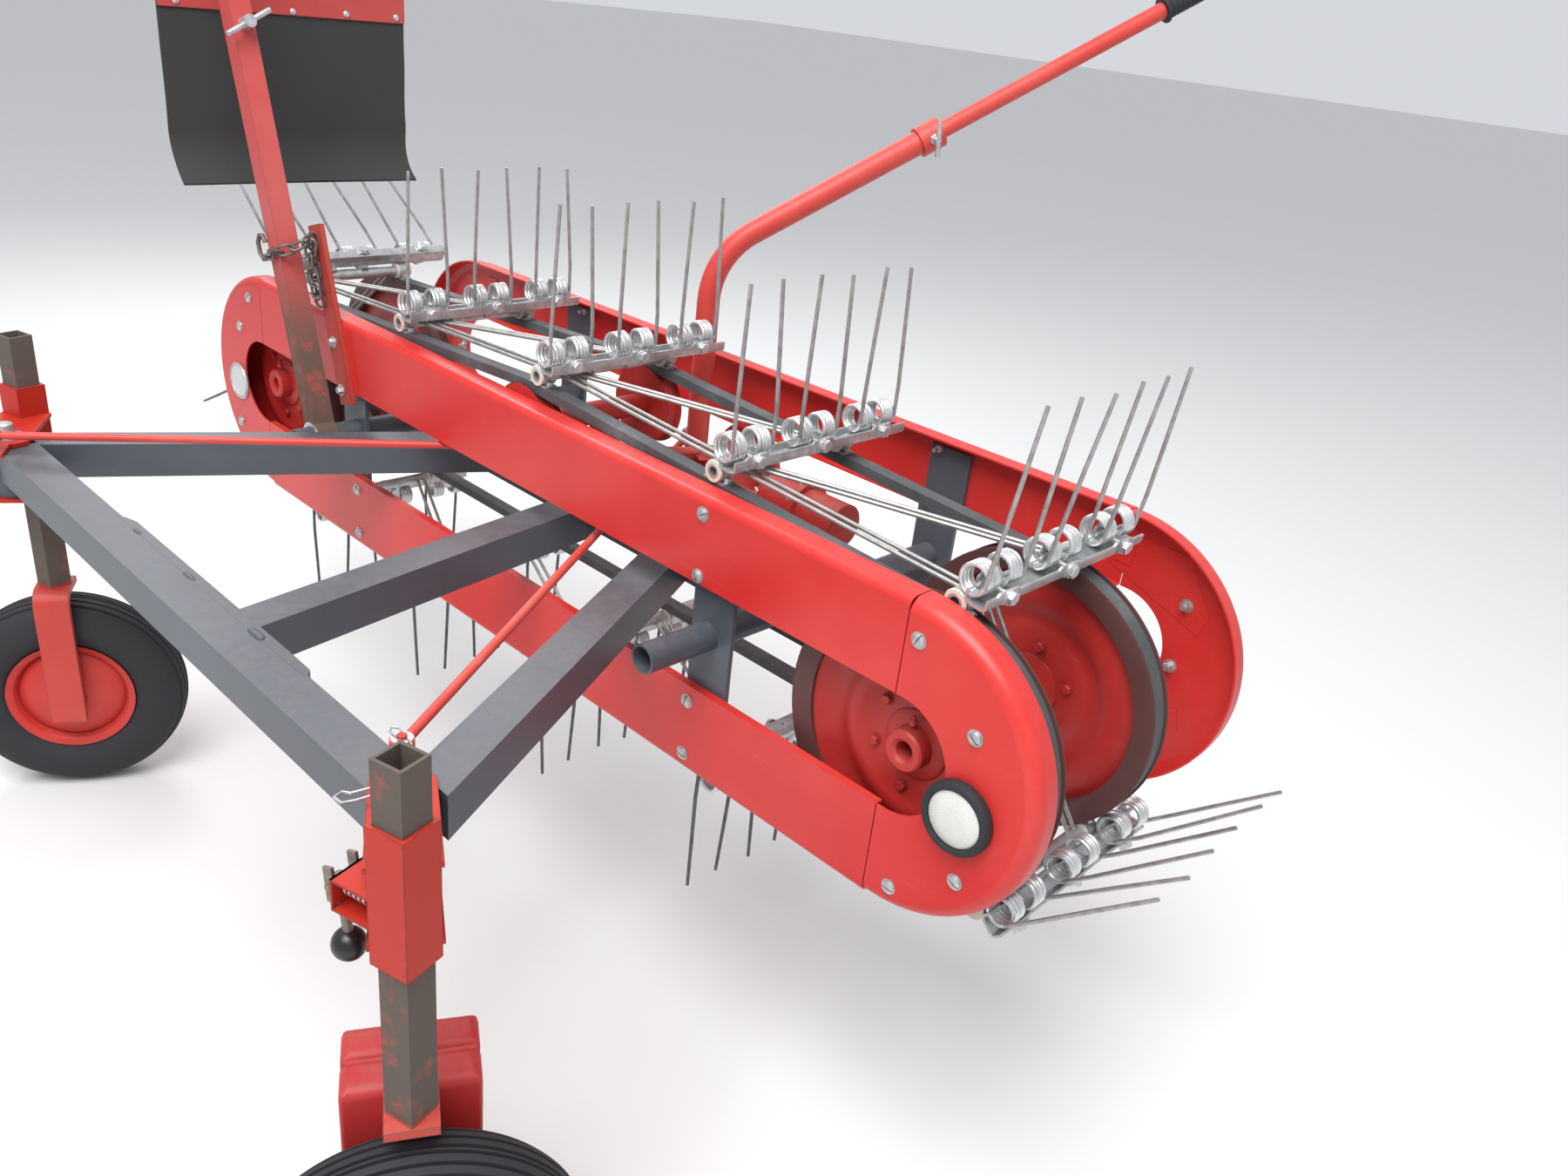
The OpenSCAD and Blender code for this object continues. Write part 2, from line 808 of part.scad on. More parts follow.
module curtain_arm() {
    color(red) at_arm() {
        difference() {
            union() {
                cyl_y(0, 0, -20, 20, 33);
                rotate([0, -arm_lean, 0]) slab([-20, -20, 0], [20, 20, arm_len]);
            }
            cyl_y(0, 0, -30, 30, 22.55);
            rotate([0, -arm_lean, 0]) slab([-17, -17, 36], [17, 17, arm_len + 1]);
        }
        cyl_y(hinge_dx, hinge_dz, curtain_y1 - arm_y, curtain_y2 - arm_y, hinge_r);
    }
}

// screw with its cross handle, on the arm's inner side
module curtain_clamp() {
    color(zinc) at_arm() rotate([0, -arm_lean, 0]) {
        translate([20, 0, 730]) rotate([0, 90, 0]) cylinder(h = 28, r = 11);
        translate([42, 0, 730]) rotate([-62, 0, 0]) translate([0, 0, -47]) cylinder(h = 94, r = 5);
    }
}

module curtain_bar() {
    color(red) at_arm() difference() {
        union() {
            for (y = [curtain_y1 + 30, curtain_y2 - 70]) cyl_y(hinge_dx, hinge_dz, y - arm_y, y - arm_y + 40, 16);
            translate([hinge_dx, 0, hinge_dz])
                slab([-16, curtain_y1 - arm_y, -200], [-13, curtain_y2 - arm_y, 0]);
        }
        cyl_y(hinge_dx, hinge_dz, curtain_y1 - arm_y - 1, curtain_y2 - arm_y + 1, hinge_r + 0.05);
    }
}

// hanging cloth, straight and then curving inwards at its foot
module curtain_flap() {
    curve = 120;
    color(dark) at_arm() translate([hinge_dx - 21, curtain_y2 - arm_y, hinge_dz - 410])
        rotate([90, 0, 0]) linear_extrude(curtain_y2 - curtain_y1) {
            square([4.7, 250]);
            translate([curve, 0]) intersection() {
                difference() {
                    circle(curve);
                    circle(curve - 4.7);
                }
                polygon([[0, 0], [-200, 0], [-200, -200 * tan(50)]]);
            }
        }
}

front_upper_channel();
front_lower_channel();
front_left_cap();
front_right_cap();
rear_upper_channel();
rear_lower_channel();
rear_left_cap();
rear_right_cap();
marker_lamp();
reflector();
hook_bar();
left_side_frame();
right_side_frame();
inner_carrier();
drive_gearbox();
coupling_neck();
front_crossbeam();
left_beam();
middle_beam();
right_beam();
front_belt();
rear_belt();
left_pulleys();
right_pulleys();
drive_pulleys();
tine_bar_1();
tine_bar_2();
tine_bar_3();
tine_bar_4();
tine_bar_5();
tine_bar_6();
tine_bar_7();
tine_bar_8();
tine_bar_9();
tine_bar_10();
tine_bar_11();
tie_rods();
steering_lever();
lever_grip();
left_steering_rod();
right_steering_rod();
left_castor_bracket();
left_castor_stem();
left_wheel_rim();
left_wheel_tyre();
right_castor_bracket();
right_castor_stem();
right_castor_weights();
right_wheel_rim();
right_wheel_tyre();
curtain_arm();
curtain_clamp();
curtain_bar();
curtain_flap();
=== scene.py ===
"""Looks of a belt hay rake carried in front of a walking tractor.

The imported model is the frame. This script dresses it: paint, zinc and rubber finishes, wound
spring tines, tyres, wheel discs, fasteners, the chain, the curtain and the small controls.
Lengths are in metres, in the row frame: X along the rake, Y back to the tractor, Z up.
"""

import logging
import math
from dataclasses import dataclass, field
from enum import Enum
from typing import Iterable, Optional, Sequence, Union

import bmesh
import bpy
from mathutils import Matrix, Vector

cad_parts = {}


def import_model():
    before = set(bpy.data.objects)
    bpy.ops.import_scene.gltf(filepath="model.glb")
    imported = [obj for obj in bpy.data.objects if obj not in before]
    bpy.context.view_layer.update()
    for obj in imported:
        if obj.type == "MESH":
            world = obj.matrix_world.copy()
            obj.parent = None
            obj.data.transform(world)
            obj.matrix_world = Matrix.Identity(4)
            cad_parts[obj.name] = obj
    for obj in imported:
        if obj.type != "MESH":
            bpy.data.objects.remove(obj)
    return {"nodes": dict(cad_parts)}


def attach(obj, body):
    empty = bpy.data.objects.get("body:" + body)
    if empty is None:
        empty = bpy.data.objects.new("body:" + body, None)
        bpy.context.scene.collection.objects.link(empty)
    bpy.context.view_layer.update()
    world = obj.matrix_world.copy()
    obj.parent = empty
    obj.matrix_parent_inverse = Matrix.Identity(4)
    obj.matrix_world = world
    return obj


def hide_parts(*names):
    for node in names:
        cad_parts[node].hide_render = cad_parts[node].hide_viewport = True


log = logging.getLogger("rake")

Number = Union[int, float]
Colour = tuple[float, float, float]
Places = tuple[tuple[float, float, float], ...]


# ---------------------------------------------------------------- shaders


class Sock:
    """One shader socket, with the operators of arithmetic."""

    def __init__(self, graph: "Graph", link: bpy.types.NodeSocket) -> None:
        """Wraps a socket.

        Args:
            graph: the material graph that the socket belongs to.
            link: the output socket.
        """
        self.graph = graph
        self.link = link

    def _math(self, operation: str, *values: Union["Sock", Number]) -> "Sock":
        """A Math node on the values.

        Args:
            operation: the Math node's operation.
            values: its inputs in order.

        Returns:
            The node's result.
        """
        return self.graph.node("ShaderNodeMath", {"operation": operation}, dict(enumerate(values)))

    def __add__(self, other: Union["Sock", Number]) -> "Sock":
        """Sum."""
        return self._math("ADD", self, other)

    __radd__ = __add__

    def __mul__(self, other: Union["Sock", Number]) -> "Sock":
        """Product."""
        return self._math("MULTIPLY", self, other)

    __rmul__ = __mul__

    def __sub__(self, other: Union["Sock", Number]) -> "Sock":
        """Difference."""
        return self._math("SUBTRACT", self, other)

    def __rsub__(self, other: Union["Sock", Number]) -> "Sock":
        """Difference from a number."""
        return self._math("SUBTRACT", other, self)

    def __truediv__(self, other: Union["Sock", Number]) -> "Sock":
        """Quotient."""
        return self._math("DIVIDE", self, other)

    def clamp(self) -> "Sock":
        """The value held between 0 and 1."""
        return self.graph.node("ShaderNodeClamp", {}, {0: self})

    def sine(self) -> "Sock":
        """Sine of the value in radians."""
        return self._math("SINE", self)

    def step(self, low: float, high: float) -> "Sock":
        """Smooth rise from 0 at low to 1 at high.

        Args:
            low: value where the rise starts.
            high: value where it ends.

        Returns:
            The risen value.
        """
        settings = {"interpolation_type": "SMOOTHSTEP"}
        return self.graph.node("ShaderNodeMapRange", settings, {0: self, 1: low, 2: high, 3: 0.0, 4: 1.0})


class Graph:
    """Node graph of one material."""

    def __init__(self, name: str) -> None:
        """Makes an empty material.

        Args:
            name: the material's name.
        """
        self.material = bpy.data.materials.new(name)
        self.material.use_nodes = True
        self.tree = self.material.node_tree
        self.tree.nodes.clear()

    def node(
        self,
        kind: str,
        settings: Optional[dict] = None,
        values: Optional[dict] = None,
        out: Union[int, str] = 0,
    ) -> Sock:
        """Adds a node.

        Args:
            kind: the node's type.
            settings: its properties.
            values: numbers, colours or sockets for its inputs, by name or number.
            out: the output to return.

        Returns:
            The chosen output.
        """
        new = self.tree.nodes.new(kind)
        for key, value in (settings or {}).items():
            setattr(new, key, value)
        for key, value in (values or {}).items():
            if isinstance(value, Sock):
                self.tree.links.new(value.link, new.inputs[key])
            elif isinstance(value, tuple) and len(value) == 3 and len(new.inputs[key].default_value) == 4:
                new.inputs[key].default_value = (*value, 1.0)
            else:
                new.inputs[key].default_value = value
        return Sock(self, new.outputs[out])

    def place(self, stretch: Colour = (1.0, 1.0, 1.0)) -> Sock:
        """Position on the object in metres, scaled along its axes.

        Args:
            stretch: the factor along each axis.

        Returns:
            The coordinates.
        """
        coords = self.node("ShaderNodeTexCoord", out="Object")
        return self.node("ShaderNodeMapping", {}, {0: coords, "Scale": stretch})

    def noise(
        self,
        scale: float,
        detail: float = 4.0,
        rough: float = 0.55,
        where: Optional[Sock] = None,
    ) -> Sock:
        """Noise from 0 to 1.

        Args:
            scale: waves per metre.
            detail: octaves.
            rough: weight of the finer octaves.
            where: coordinates, the object's own if None.

        Returns:
            The noise value.
        """
        values = {"Vector": where or self.place(), "Scale": scale, "Detail": detail, "Roughness": rough}
        return self.node("ShaderNodeTexNoise", {}, values)

    def mix(self, factor: Union[Sock, Number], a: Union[Sock, Colour], b: Union[Sock, Colour]) -> Sock:
        """Mix of two colours.

        Args:
            factor: share of b.
            a: first colour.
            b: second colour.

        Returns:
            The mixed colour.
        """
        return self.node("ShaderNodeMix", {"data_type": "RGBA"}, {0: factor, 6: a, 7: b}, out=2)

    def edge(self, radius: float) -> Sock:
        """Mask of edges and tight bends.

        Args:
            radius: reach of the mask from an edge.

        Returns:
            About 0 on flats and up to 1 on edges.
        """
        rounded = self.node("ShaderNodeBevel", {"samples": 4}, {0: radius})
        flat = self.node("ShaderNodeNewGeometry", out="Normal")
        dot = self.node("ShaderNodeVectorMath", {"operation": "DOT_PRODUCT"}, {0: rounded, 1: flat}, out=1)
        return (1.0 - dot).step(0.01, 0.22)

    def upward(self) -> Sock:
        """How far the surface faces up, from 0 to 1."""
        normal = self.node("ShaderNodeNewGeometry", out="Normal")
        split = self.node("ShaderNodeSeparateXYZ", {}, {0: normal}, out=2)
        return split.clamp()

    def bump(self, height: Sock, distance: float, strength: float = 1.0) -> Sock:
        """Bumped normal.

        Args:
            height: height from 0 to 1.
            distance: height of 1 in metres.
            strength: share of the bump.

        Returns:
            The normal.
        """
        return self.node(
            "ShaderNodeBump", {}, {"Strength": strength, "Distance": distance, "Height": height}, out=0
        )

    def shade(self, **values: Union[Sock, Number, Colour]) -> bpy.types.Material:
        """Ends the graph in a Principled shader.

        Args:
            values: its inputs, with underscores for spaces.

        Returns:
            The finished material.
        """
        named = {key.replace("_", " "): value for key, value in values.items()}
        shader = self.node("ShaderNodeBsdfPrincipled", {}, named)
        self.node_out(shader)
        return self.material

    def node_out(self, shader: Sock) -> None:
        """Links a shader to the material's output."""
        end = self.tree.nodes.new("ShaderNodeOutputMaterial")
        self.tree.links.new(shader.link, end.inputs[0])


# ---------------------------------------------------------------- finishes


@dataclass(frozen=True)
class Finish:
    """A surface finish, built once as a material."""

    name: str

    def material(self) -> bpy.types.Material:
        """The finish's material, made at first use."""
        found = bpy.data.materials.get(self.name)
        return found or self.build(Graph(self.name))

    def build(self, g: Graph) -> bpy.types.Material:
        """Builds the material.

        Args:
            g: an empty graph.

        Returns:
            The material.
        """
        raise NotImplementedError


@dataclass(frozen=True)
class Paint(Finish):
    """Sprayed paint on steel, faded, dusty, lighter on upward faces as a painted sky sheen, and chipped to
    rust along its edges.
    """

    colour: Colour
    faded: Colour
    bare: Colour = (0.075, 0.036, 0.024)
    # Pale dust colour, also used for the painted sky sheen on upward faces.
    dust: Colour = (0.23, 0.20, 0.17)
    gloss: float = 0.34
    chips: float = 0.35
    # Share of the dust and of the painted sky sheen on upward faces.
    grime_and_top_sheen: float = 0.25
    worn: Optional[tuple[float, float]] = None

    def build(self, g: Graph) -> bpy.types.Material:
        """Paint colour with fading, dust, a painted sky sheen on upward faces, scratches and chips."""
        cloud = g.noise(3.2, 5.0, 0.6)
        fine = g.noise(58.0, 6.0, 0.65)
        speck = g.noise(210.0, 3.0, 0.6)
        colour = g.mix(cloud.step(0.35, 0.72) * 0.55 + fine * 0.12, self.colour, self.faded)
        scratch = g.noise(26.0, 2.0, 0.5, g.place((0.35, 1.0, 7.0))).step(0.66, 0.70)
        scuff = scratch * g.noise(5.5, 2.0).step(0.50, 0.62)
        colour = g.mix(scuff * 0.45, colour, self.faded)
        # Dust from noise, plus a painted sky sheen: faces turned up are pushed toward the pale dust colour.
        dust_and_top_sheen = (fine * 0.6 + g.upward() * 0.25 + cloud * 0.3).step(0.58, 0.95) * self.grime_and_top_sheen
        colour = g.mix(dust_and_top_sheen, colour, self.dust)
        edge = g.edge(0.0035)
        spots = speck * 0.5 + g.noise(21.0, 4.0, 0.7) * 0.7
        chip = (edge * 0.85 * self.chips + spots).step(0.98 - 0.12 * self.chips, 1.06 - 0.12 * self.chips)
        if self.worn:
            height = g.node("ShaderNodeSeparateXYZ", {}, {0: g.place()}, out=2)
            rubbed = (g.noise(14.0, 5.0, 0.65) * 0.8 + fine * 0.3).step(0.33, 0.53)
            chip = (chip + height.step(*self.worn) * (0.35 + rubbed * 0.65)).clamp()
        colour = g.mix(chip, colour, self.bare)
        rough = self.gloss + cloud * 0.12 + dust_and_top_sheen * 0.35 + chip * 0.4
        height = fine * 0.10 + g.noise(9.0, 3.0) * 0.6 - chip * 0.5
        return g.shade(Base_Color=colour, Roughness=rough, Normal=g.bump(height, 0.0011, 0.5), IOR=1.48)


@dataclass(frozen=True)
class Steel(Finish):
    """Bare, zinc-plated or rusted steel."""

    colour: Colour
    shade_colour: Colour
    rust: float = 0.1
    gloss: float = 0.36
    metal: float = 0.85
    grain: float = 60.0

    def build(self, g: Graph) -> bpy.types.Material:
        """Metal with blotches, rust spots and fine grain."""
        blotch = g.noise(self.grain, 4.0, 0.6)
        colour = g.mix(blotch.step(0.3, 0.75), self.colour, self.shade_colour)
        spread = 0.80 - 0.42 * self.rust
        rusty = (g.noise(17.0, 6.0, 0.7) * 0.75 + blotch * 0.4).step(spread, spread + 0.13)
        brown = g.mix(g.noise(90.0), (0.055, 0.026, 0.016), (0.16, 0.075, 0.035))
        colour = g.mix(rusty * min(1.0, 0.35 + self.rust), colour, brown)
        rough = self.gloss + blotch * 0.16 + rusty * 0.35
        metal = self.metal - rusty * self.metal * 0.9
        height = blotch * 0.4 + g.noise(240.0, 2.0) * 0.4 + rusty * 0.4
        normal = g.bump(height, 0.0006, 0.5)
        return g.shade(Base_Color=colour, Roughness=rough, Metallic=metal.clamp(), Normal=normal)


@dataclass(frozen=True)
class Rubber(Finish):
    """Black rubber with dust in its grain."""

    colour: Colour
    dust: Colour = (0.17, 0.155, 0.14)
    dusty: float = 0.35
    gloss: float = 0.62
    grain: float = 45.0

    def build(self, g: Graph) -> bpy.types.Material:
        """Rubber colour under patches of dust."""
        cloud = g.noise(7.0, 5.0, 0.65)
        fine = g.noise(self.grain * 4.0, 4.0, 0.7)
        cover = (cloud * 0.7 + fine * 0.45).step(0.50, 0.95) * self.dusty
        colour = g.mix(cover, self.colour, self.dust)
        rough = self.gloss + cover * 0.3
        return g.shade(Base_Color=colour, Roughness=rough, Normal=g.bump(fine, 0.0005, 0.6), IOR=1.45)


@dataclass(frozen=True)
class Plastic(Finish):
    """Moulded plastic."""

    colour: Colour
    gloss: float = 0.4
    stain: Colour = (0.20, 0.17, 0.12)

    def build(self, g: Graph) -> bpy.types.Material:
        """Plastic colour with light stains."""
        cloud = g.noise(30.0, 5.0, 0.65)
        colour = g.mix(cloud.step(0.5, 0.85) * 0.35, self.colour, self.stain)
        return g.shade(
            Base_Color=colour, Roughness=self.gloss + cloud * 0.15, Normal=g.bump(cloud, 0.0003, 0.4)
        )


@dataclass(frozen=True)
class Lens(Finish):
    """Moulded lens over a bright reflector, with a fine prism grid."""

    colour: Colour
    pitch: float = 0.0034

    def build(self, g: Graph) -> bpy.types.Material:
        """Grid of small prisms across the lens."""
        split = self._axes(g)
        turn = 2.0 * math.pi / self.pitch
        grid = (split[0] * turn).sine() * (split[1] * turn).sine()
        glow = (grid * 0.5 + 0.5).step(0.1, 0.9)
        colour = g.mix(glow * 0.55 + g.noise(45.0) * 0.25, self.colour, (0.93, 0.93, 0.90))
        normal = g.bump(grid * 0.5 + 0.5, 0.0008, 0.7)
        return g.shade(
            Base_Color=colour, Roughness=0.16 + glow * 0.1, Metallic=0.25, Normal=normal, Coat_Weight=0.6
        )

    @staticmethod
    def _axes(g: Graph) -> tuple[Sock, Sock]:
        """The object's X and Z as numbers."""
        where = g.place()
        x = g.node("ShaderNodeSeparateXYZ", {}, {0: where}, out=0)
        z = g.node("ShaderNodeSeparateXYZ", {}, {0: where}, out=2)
        return x, z


@dataclass(frozen=True)
class Cloth(Finish):
    """Rubber-coated woven cloth."""

    colour: Colour
    pitch: float = 0.0022

    def build(self, g: Graph) -> bpy.types.Material:
        """Weave under a dull coat, with dusty rubs."""
        where = g.place()
        turn = 2.0 * math.pi / self.pitch
        y = g.node("ShaderNodeSeparateXYZ", {}, {0: where}, out=1)
        z = g.node("ShaderNodeSeparateXYZ", {}, {0: where}, out=2)
        weave = (y * turn).sine() * (z * turn).sine() * 0.5 + 0.5
        rub = g.noise(6.0, 6.0, 0.7).step(0.46, 0.82)
        streak = g.noise(30.0, 3.0, 0.6, g.place((1.0, 2.2, 0.25))).step(0.55, 0.8)
        colour = g.mix(rub * 0.35 + streak * 0.25, self.colour, (0.115, 0.118, 0.122))
        rough = 0.62 + rub * 0.15
        return g.shade(
            Base_Color=colour, Roughness=rough, Normal=g.bump(weave, 0.0004, 0.35), Sheen_Weight=0.15
        )


@dataclass(frozen=True)
class Ground(Finish):
    """Pale studio floor."""

    colour: Colour = (0.74, 0.74, 0.73)

    def build(self, g: Graph) -> bpy.types.Material:
        """Even pale floor with a trace of unevenness."""
        colour = g.mix(g.noise(0.8, 3.0) * 0.3, self.colour, (0.70, 0.70, 0.69))
        return g.shade(Base_Color=colour, Roughness=0.85)


HOOD_RED = Paint("hood_red", (0.56, 0.018, 0.016), (0.66, 0.055, 0.045), gloss=0.30, chips=0.15, grime_and_top_sheen=0.16)
FRAME_RED = Paint("frame_red", (0.50, 0.020, 0.016), (0.60, 0.07, 0.05), gloss=0.40, chips=0.5, grime_and_top_sheen=0.3)
LEVER_RED = Paint("lever_red", (0.55, 0.040, 0.030), (0.66, 0.13, 0.10), gloss=0.42, chips=0.35, grime_and_top_sheen=0.25)
PULLEY_RED = Paint(
    "pulley_red", (0.40, 0.014, 0.012), (0.50, 0.045, 0.035), gloss=0.38, chips=0.45, grime_and_top_sheen=0.45
)
ARM_RED = Paint("arm_red", (0.46, 0.050, 0.045), (0.50, 0.11, 0.10), gloss=0.45, chips=0.55, grime_and_top_sheen=0.25)
ARM_WORN = Paint(
    "arm_worn", (0.46, 0.050, 0.045), (0.50, 0.11, 0.10), bare=(0.115, 0.075, 0.055), gloss=0.45, chips=0.6,
    worn=(0.36, 0.16)
)
HOOK_RED = Paint("hook_red", (0.40, 0.025, 0.018), (0.42, 0.07, 0.045), gloss=0.5, chips=1.1, grime_and_top_sheen=0.6)
STEM_RED = Paint(
    "stem_red", (0.50, 0.035, 0.025), (0.55, 0.09, 0.06), bare=(0.105, 0.085, 0.070), gloss=0.42, chips=0.9,
    worn=(-0.283, -0.277)
)
SLEEVE_RED = Paint(
    "sleeve_red", (0.45, 0.012, 0.002), (0.43, 0.022, 0.006), gloss=0.5, chips=0.5, grime_and_top_sheen=0.06
)
WEIGHT_RED = Paint(
    "weight_red", (0.42, 0.018, 0.018), (0.50, 0.05, 0.045), gloss=0.45, chips=0.4, grime_and_top_sheen=0.35
)
FRAME_GREY = Paint(
    "frame_grey", (0.060, 0.068, 0.082), (0.10, 0.112, 0.13), gloss=0.36, chips=0.3, grime_and_top_sheen=0.35
)
GEARBOX_RED = Paint(
    "gearbox_red", (0.48, 0.020, 0.014), (0.50, 0.05, 0.04), gloss=0.42, chips=0.6, grime_and_top_sheen=0.5
)
GROOVE = Paint("groove_brown", (0.085, 0.032, 0.030), (0.13, 0.05, 0.045), gloss=0.5, chips=0.6, grime_and_top_sheen=0.5)
ZINC = Steel("zinc", (0.62, 0.63, 0.63), (0.42, 0.43, 0.43), rust=0.05, gloss=0.38)
BRIGHT = Steel("bright_zinc", (0.74, 0.75, 0.75), (0.52, 0.53, 0.53), rust=0.03, gloss=0.30)
SPRING = Steel("spring_zinc", (0.80, 0.81, 0.81), (0.60, 0.61, 0.61), rust=0.02, gloss=0.30)
FINGER = Steel("finger_steel", (0.46, 0.45, 0.44), (0.30, 0.29, 0.28), rust=0.12, gloss=0.40)
# Darker copy of the finger steel for the bars low on the belts: painted shade, the same steel as the
# fingers above.
SHADED_FINGER = Steel("lower_finger_steel", (0.16, 0.16, 0.165), (0.10, 0.10, 0.10), rust=0.2, gloss=0.45)
ROD_STEEL = Steel("rod_steel", (0.55, 0.54, 0.52), (0.38, 0.37, 0.35), rust=0.12, gloss=0.38)
WORN_STEEL = Steel("worn_steel", (0.27, 0.235, 0.20), (0.16, 0.13, 0.11), rust=0.42, gloss=0.42, metal=0.7)
CHAIN_STEEL = Steel("chain_steel", (0.23, 0.20, 0.18), (0.12, 0.10, 0.09), rust=0.45, gloss=0.45)
BELT_RUBBER = Rubber("belt_rubber", (0.065, 0.068, 0.073), (0.26, 0.265, 0.275), dusty=0.8, grain=90.0)
TYRE_RUBBER = Rubber("tyre_rubber", (0.022, 0.022, 0.023), (0.12, 0.11, 0.10), dusty=0.4)
BLACK_RUBBER = Rubber("black_rubber", (0.018, 0.018, 0.019), dusty=0.15, gloss=0.5)
KNOB = Plastic("knob_black", (0.012, 0.012, 0.013), 0.25, (0.03, 0.03, 0.03))
BUSH = Plastic("bush_cream", (0.62, 0.58, 0.49), 0.5)
LAMP_LENS = Lens("lamp_lens", (0.62, 0.62, 0.58))
REFLECTOR_LENS = Lens("reflector_lens", (0.42, 0.44, 0.45), 0.0022)
CURTAIN_CLOTH = Cloth("curtain_cloth", (0.036, 0.037, 0.040))
FLOOR = Ground("floor")


# ---------------------------------------------------------------- meshes


def frame_along(direction: Vector, hint: Vector = Vector((0.0, 0.0, 1.0))) -> Matrix:
    """Rotation whose Z runs along a direction and whose X is near a hint.

    Args:
        direction: the Z axis.
        hint: roughly the X axis.

    Returns:
        A 3x3 rotation.
    """
    z = direction.normalized()
    if abs(z.dot(hint.normalized())) > 0.98:
        hint = Vector((1.0, 0.0, 0.0)) if abs(z.x) < 0.9 else Vector((0.0, 1.0, 0.0))
    x = (hint - z * hint.dot(z)).normalized()
    return Matrix((x, z.cross(x), z)).transposed()


class Shape:
    """A mesh in the making."""

    def __init__(self) -> None:
        """Starts an empty mesh."""
        self.bm = bmesh.new()

    def loft(
        self,
        rings: Sequence[Sequence[Vector]],
        closed: bool = True,
        ends: bool = True,
        around: bool = False,
    ) -> None:
        """Skins a row of rings.

        Args:
            rings: rows of points, all of one length.
            closed: whether each ring is closed.
            ends: whether the first and last rings are capped.
            around: whether the last ring joins the first.
        """
        rows = [[self.bm.verts.new(p) for p in ring] for ring in rings]
        n = len(rows[0])
        pairs = list(zip(rows, rows[1:])) + ([(rows[-1], rows[0])] if around else [])
        for a, b in pairs:
            for i in range(n if closed else n - 1):
                j = (i + 1) % n
                self.bm.faces.new((a[i], a[j], b[j], b[i]))
        if ends and closed and not around:
            self.bm.faces.new(list(reversed(rows[0])))
            self.bm.faces.new(rows[-1])

    def tube(
        self,
        path: Sequence[Vector],
        radius: Union[float, Sequence[float]],
        sides: int = 10,
        around: bool = False,
    ) -> None:
        """Round bar along a path.

        Args:
            path: points on its middle line.
            radius: its radius, or one for each point.
            sides: sides of its section.
            around: whether the path closes on itself.
        """
        points = [Vector(p) for p in path]
        n = len(points)
        x = None
        rings = []
        for i, p in enumerate(points):
            before = points[i - 1] if i or around else p
            after = points[(i + 1) % n] if i < n - 1 or around else p
            way = (after - before).normalized()
            if x is None:
                x = frame_along(way).col[0].copy()
            x = (x - way * x.dot(way)).normalized()
            y = way.cross(x)
            r = radius if isinstance(radius, (int, float)) else radius[i]
            turns = (2.0 * math.pi * k / sides for k in range(sides))
            rings.append([p + x * (r * math.cos(t)) + y * (r * math.sin(t)) for t in turns])
        self.loft(rings, around=around)

    def lathe(
        self,
        profile: Sequence[tuple[float, float]],
        centre: Vector,
        axis: Vector,
        steps: int = 48,
        closed: bool = False,
    ) -> None:
        """Turned body.

        Args:
            profile: (radius, place along the axis) points.
            centre: a point on the axis, at place 0.
            axis: the axis.
            steps: sections round it.
            closed: whether the profile's last point joins its first.
        """
        turn = frame_along(axis)
        points = list(profile)
        rings = []
        for k in range(steps):
            t = 2.0 * math.pi * k / steps
            spoke = turn @ Vector((math.cos(t), math.sin(t), 0.0))
            rings.append([centre + spoke * r + axis.normalized() * h for r, h in points])
        self.loft(rings, closed=closed, ends=False, around=True)

    def prism(
        self,
        outline: Sequence[tuple[float, float]],
        origin: Vector,
        turn: Matrix,
        height: float,
    ) -> None:
        """Straight body on a flat outline.

        Args:
            outline: points in the turned X and Y.
            origin: where the outline's zero lies.
            turn: rotation of the body.
            height: its length along the turned Z.
        """
        rings = [[origin + turn @ Vector((x, y, h)) for x, y in outline] for h in (0.0, height)]
        self.loft(rings)

    def box(
        self,
        low: Sequence[float],
        high: Sequence[float],
        turn: Optional[Matrix] = None,
        origin: Optional[Vector] = None,
    ) -> None:
        """Box between two corners.

        Args:
            low: lowest corner.
            high: highest corner.
            turn: rotation about the origin.
            origin: where the corners' zero lies.
        """
        turn = turn or Matrix.Identity(3)
        origin = origin or Vector()
        outline = [(low[0], low[1]), (high[0], low[1]), (high[0], high[1]), (low[0], high[1])]
        self.prism(outline, origin + turn @ Vector((0, 0, low[2])), turn, high[2] - low[2])

    def hexagon(self, at: Vector, axis: Vector, flats: float, height: float, spin: float = 0.0) -> None:
        """Six-sided head or nut with a chamfered crown.

        Args:
            at: middle of its seat.
            axis: the way it stands out.
            flats: size across its flats.
            height: its height.
            spin: turn about its axis in degrees.
        """
        turn = frame_along(axis)
        r = flats / math.sqrt(3.0)
        rings = []
        for h, q in ((0.0, 1.0), (0.82, 1.0), (1.0, 0.86)):
            angles = (math.radians(60.0 * k + spin) for k in range(6))
            rings.append(
                [at + turn @ Vector((q * r * math.cos(a), q * r * math.sin(a), h * height)) for a in angles]
            )
        self.loft(rings)

    def disc(
        self,
        at: Vector,
        axis: Vector,
        radius: float,
        height: float,
        dome: float = 0.0,
        steps: int = 20,
    ) -> None:
        """Flat or domed disc, such as a washer or a rivet's head.

        Args:
            at: middle of its seat.
            axis: the way it stands out.
            radius: its radius.
            height: height of its rim.
            dome: rise of its crown above the rim.
            steps: sections round it.
        """
        arc = [
            (radius * math.cos(a), height + dome * math.sin(a)) for a in (0.35, 0.75, 1.15)
        ] if dome else []
        self.lathe([(radius, 0.0), (radius, height), *arc, (0.0, height + dome)], at, axis, steps)

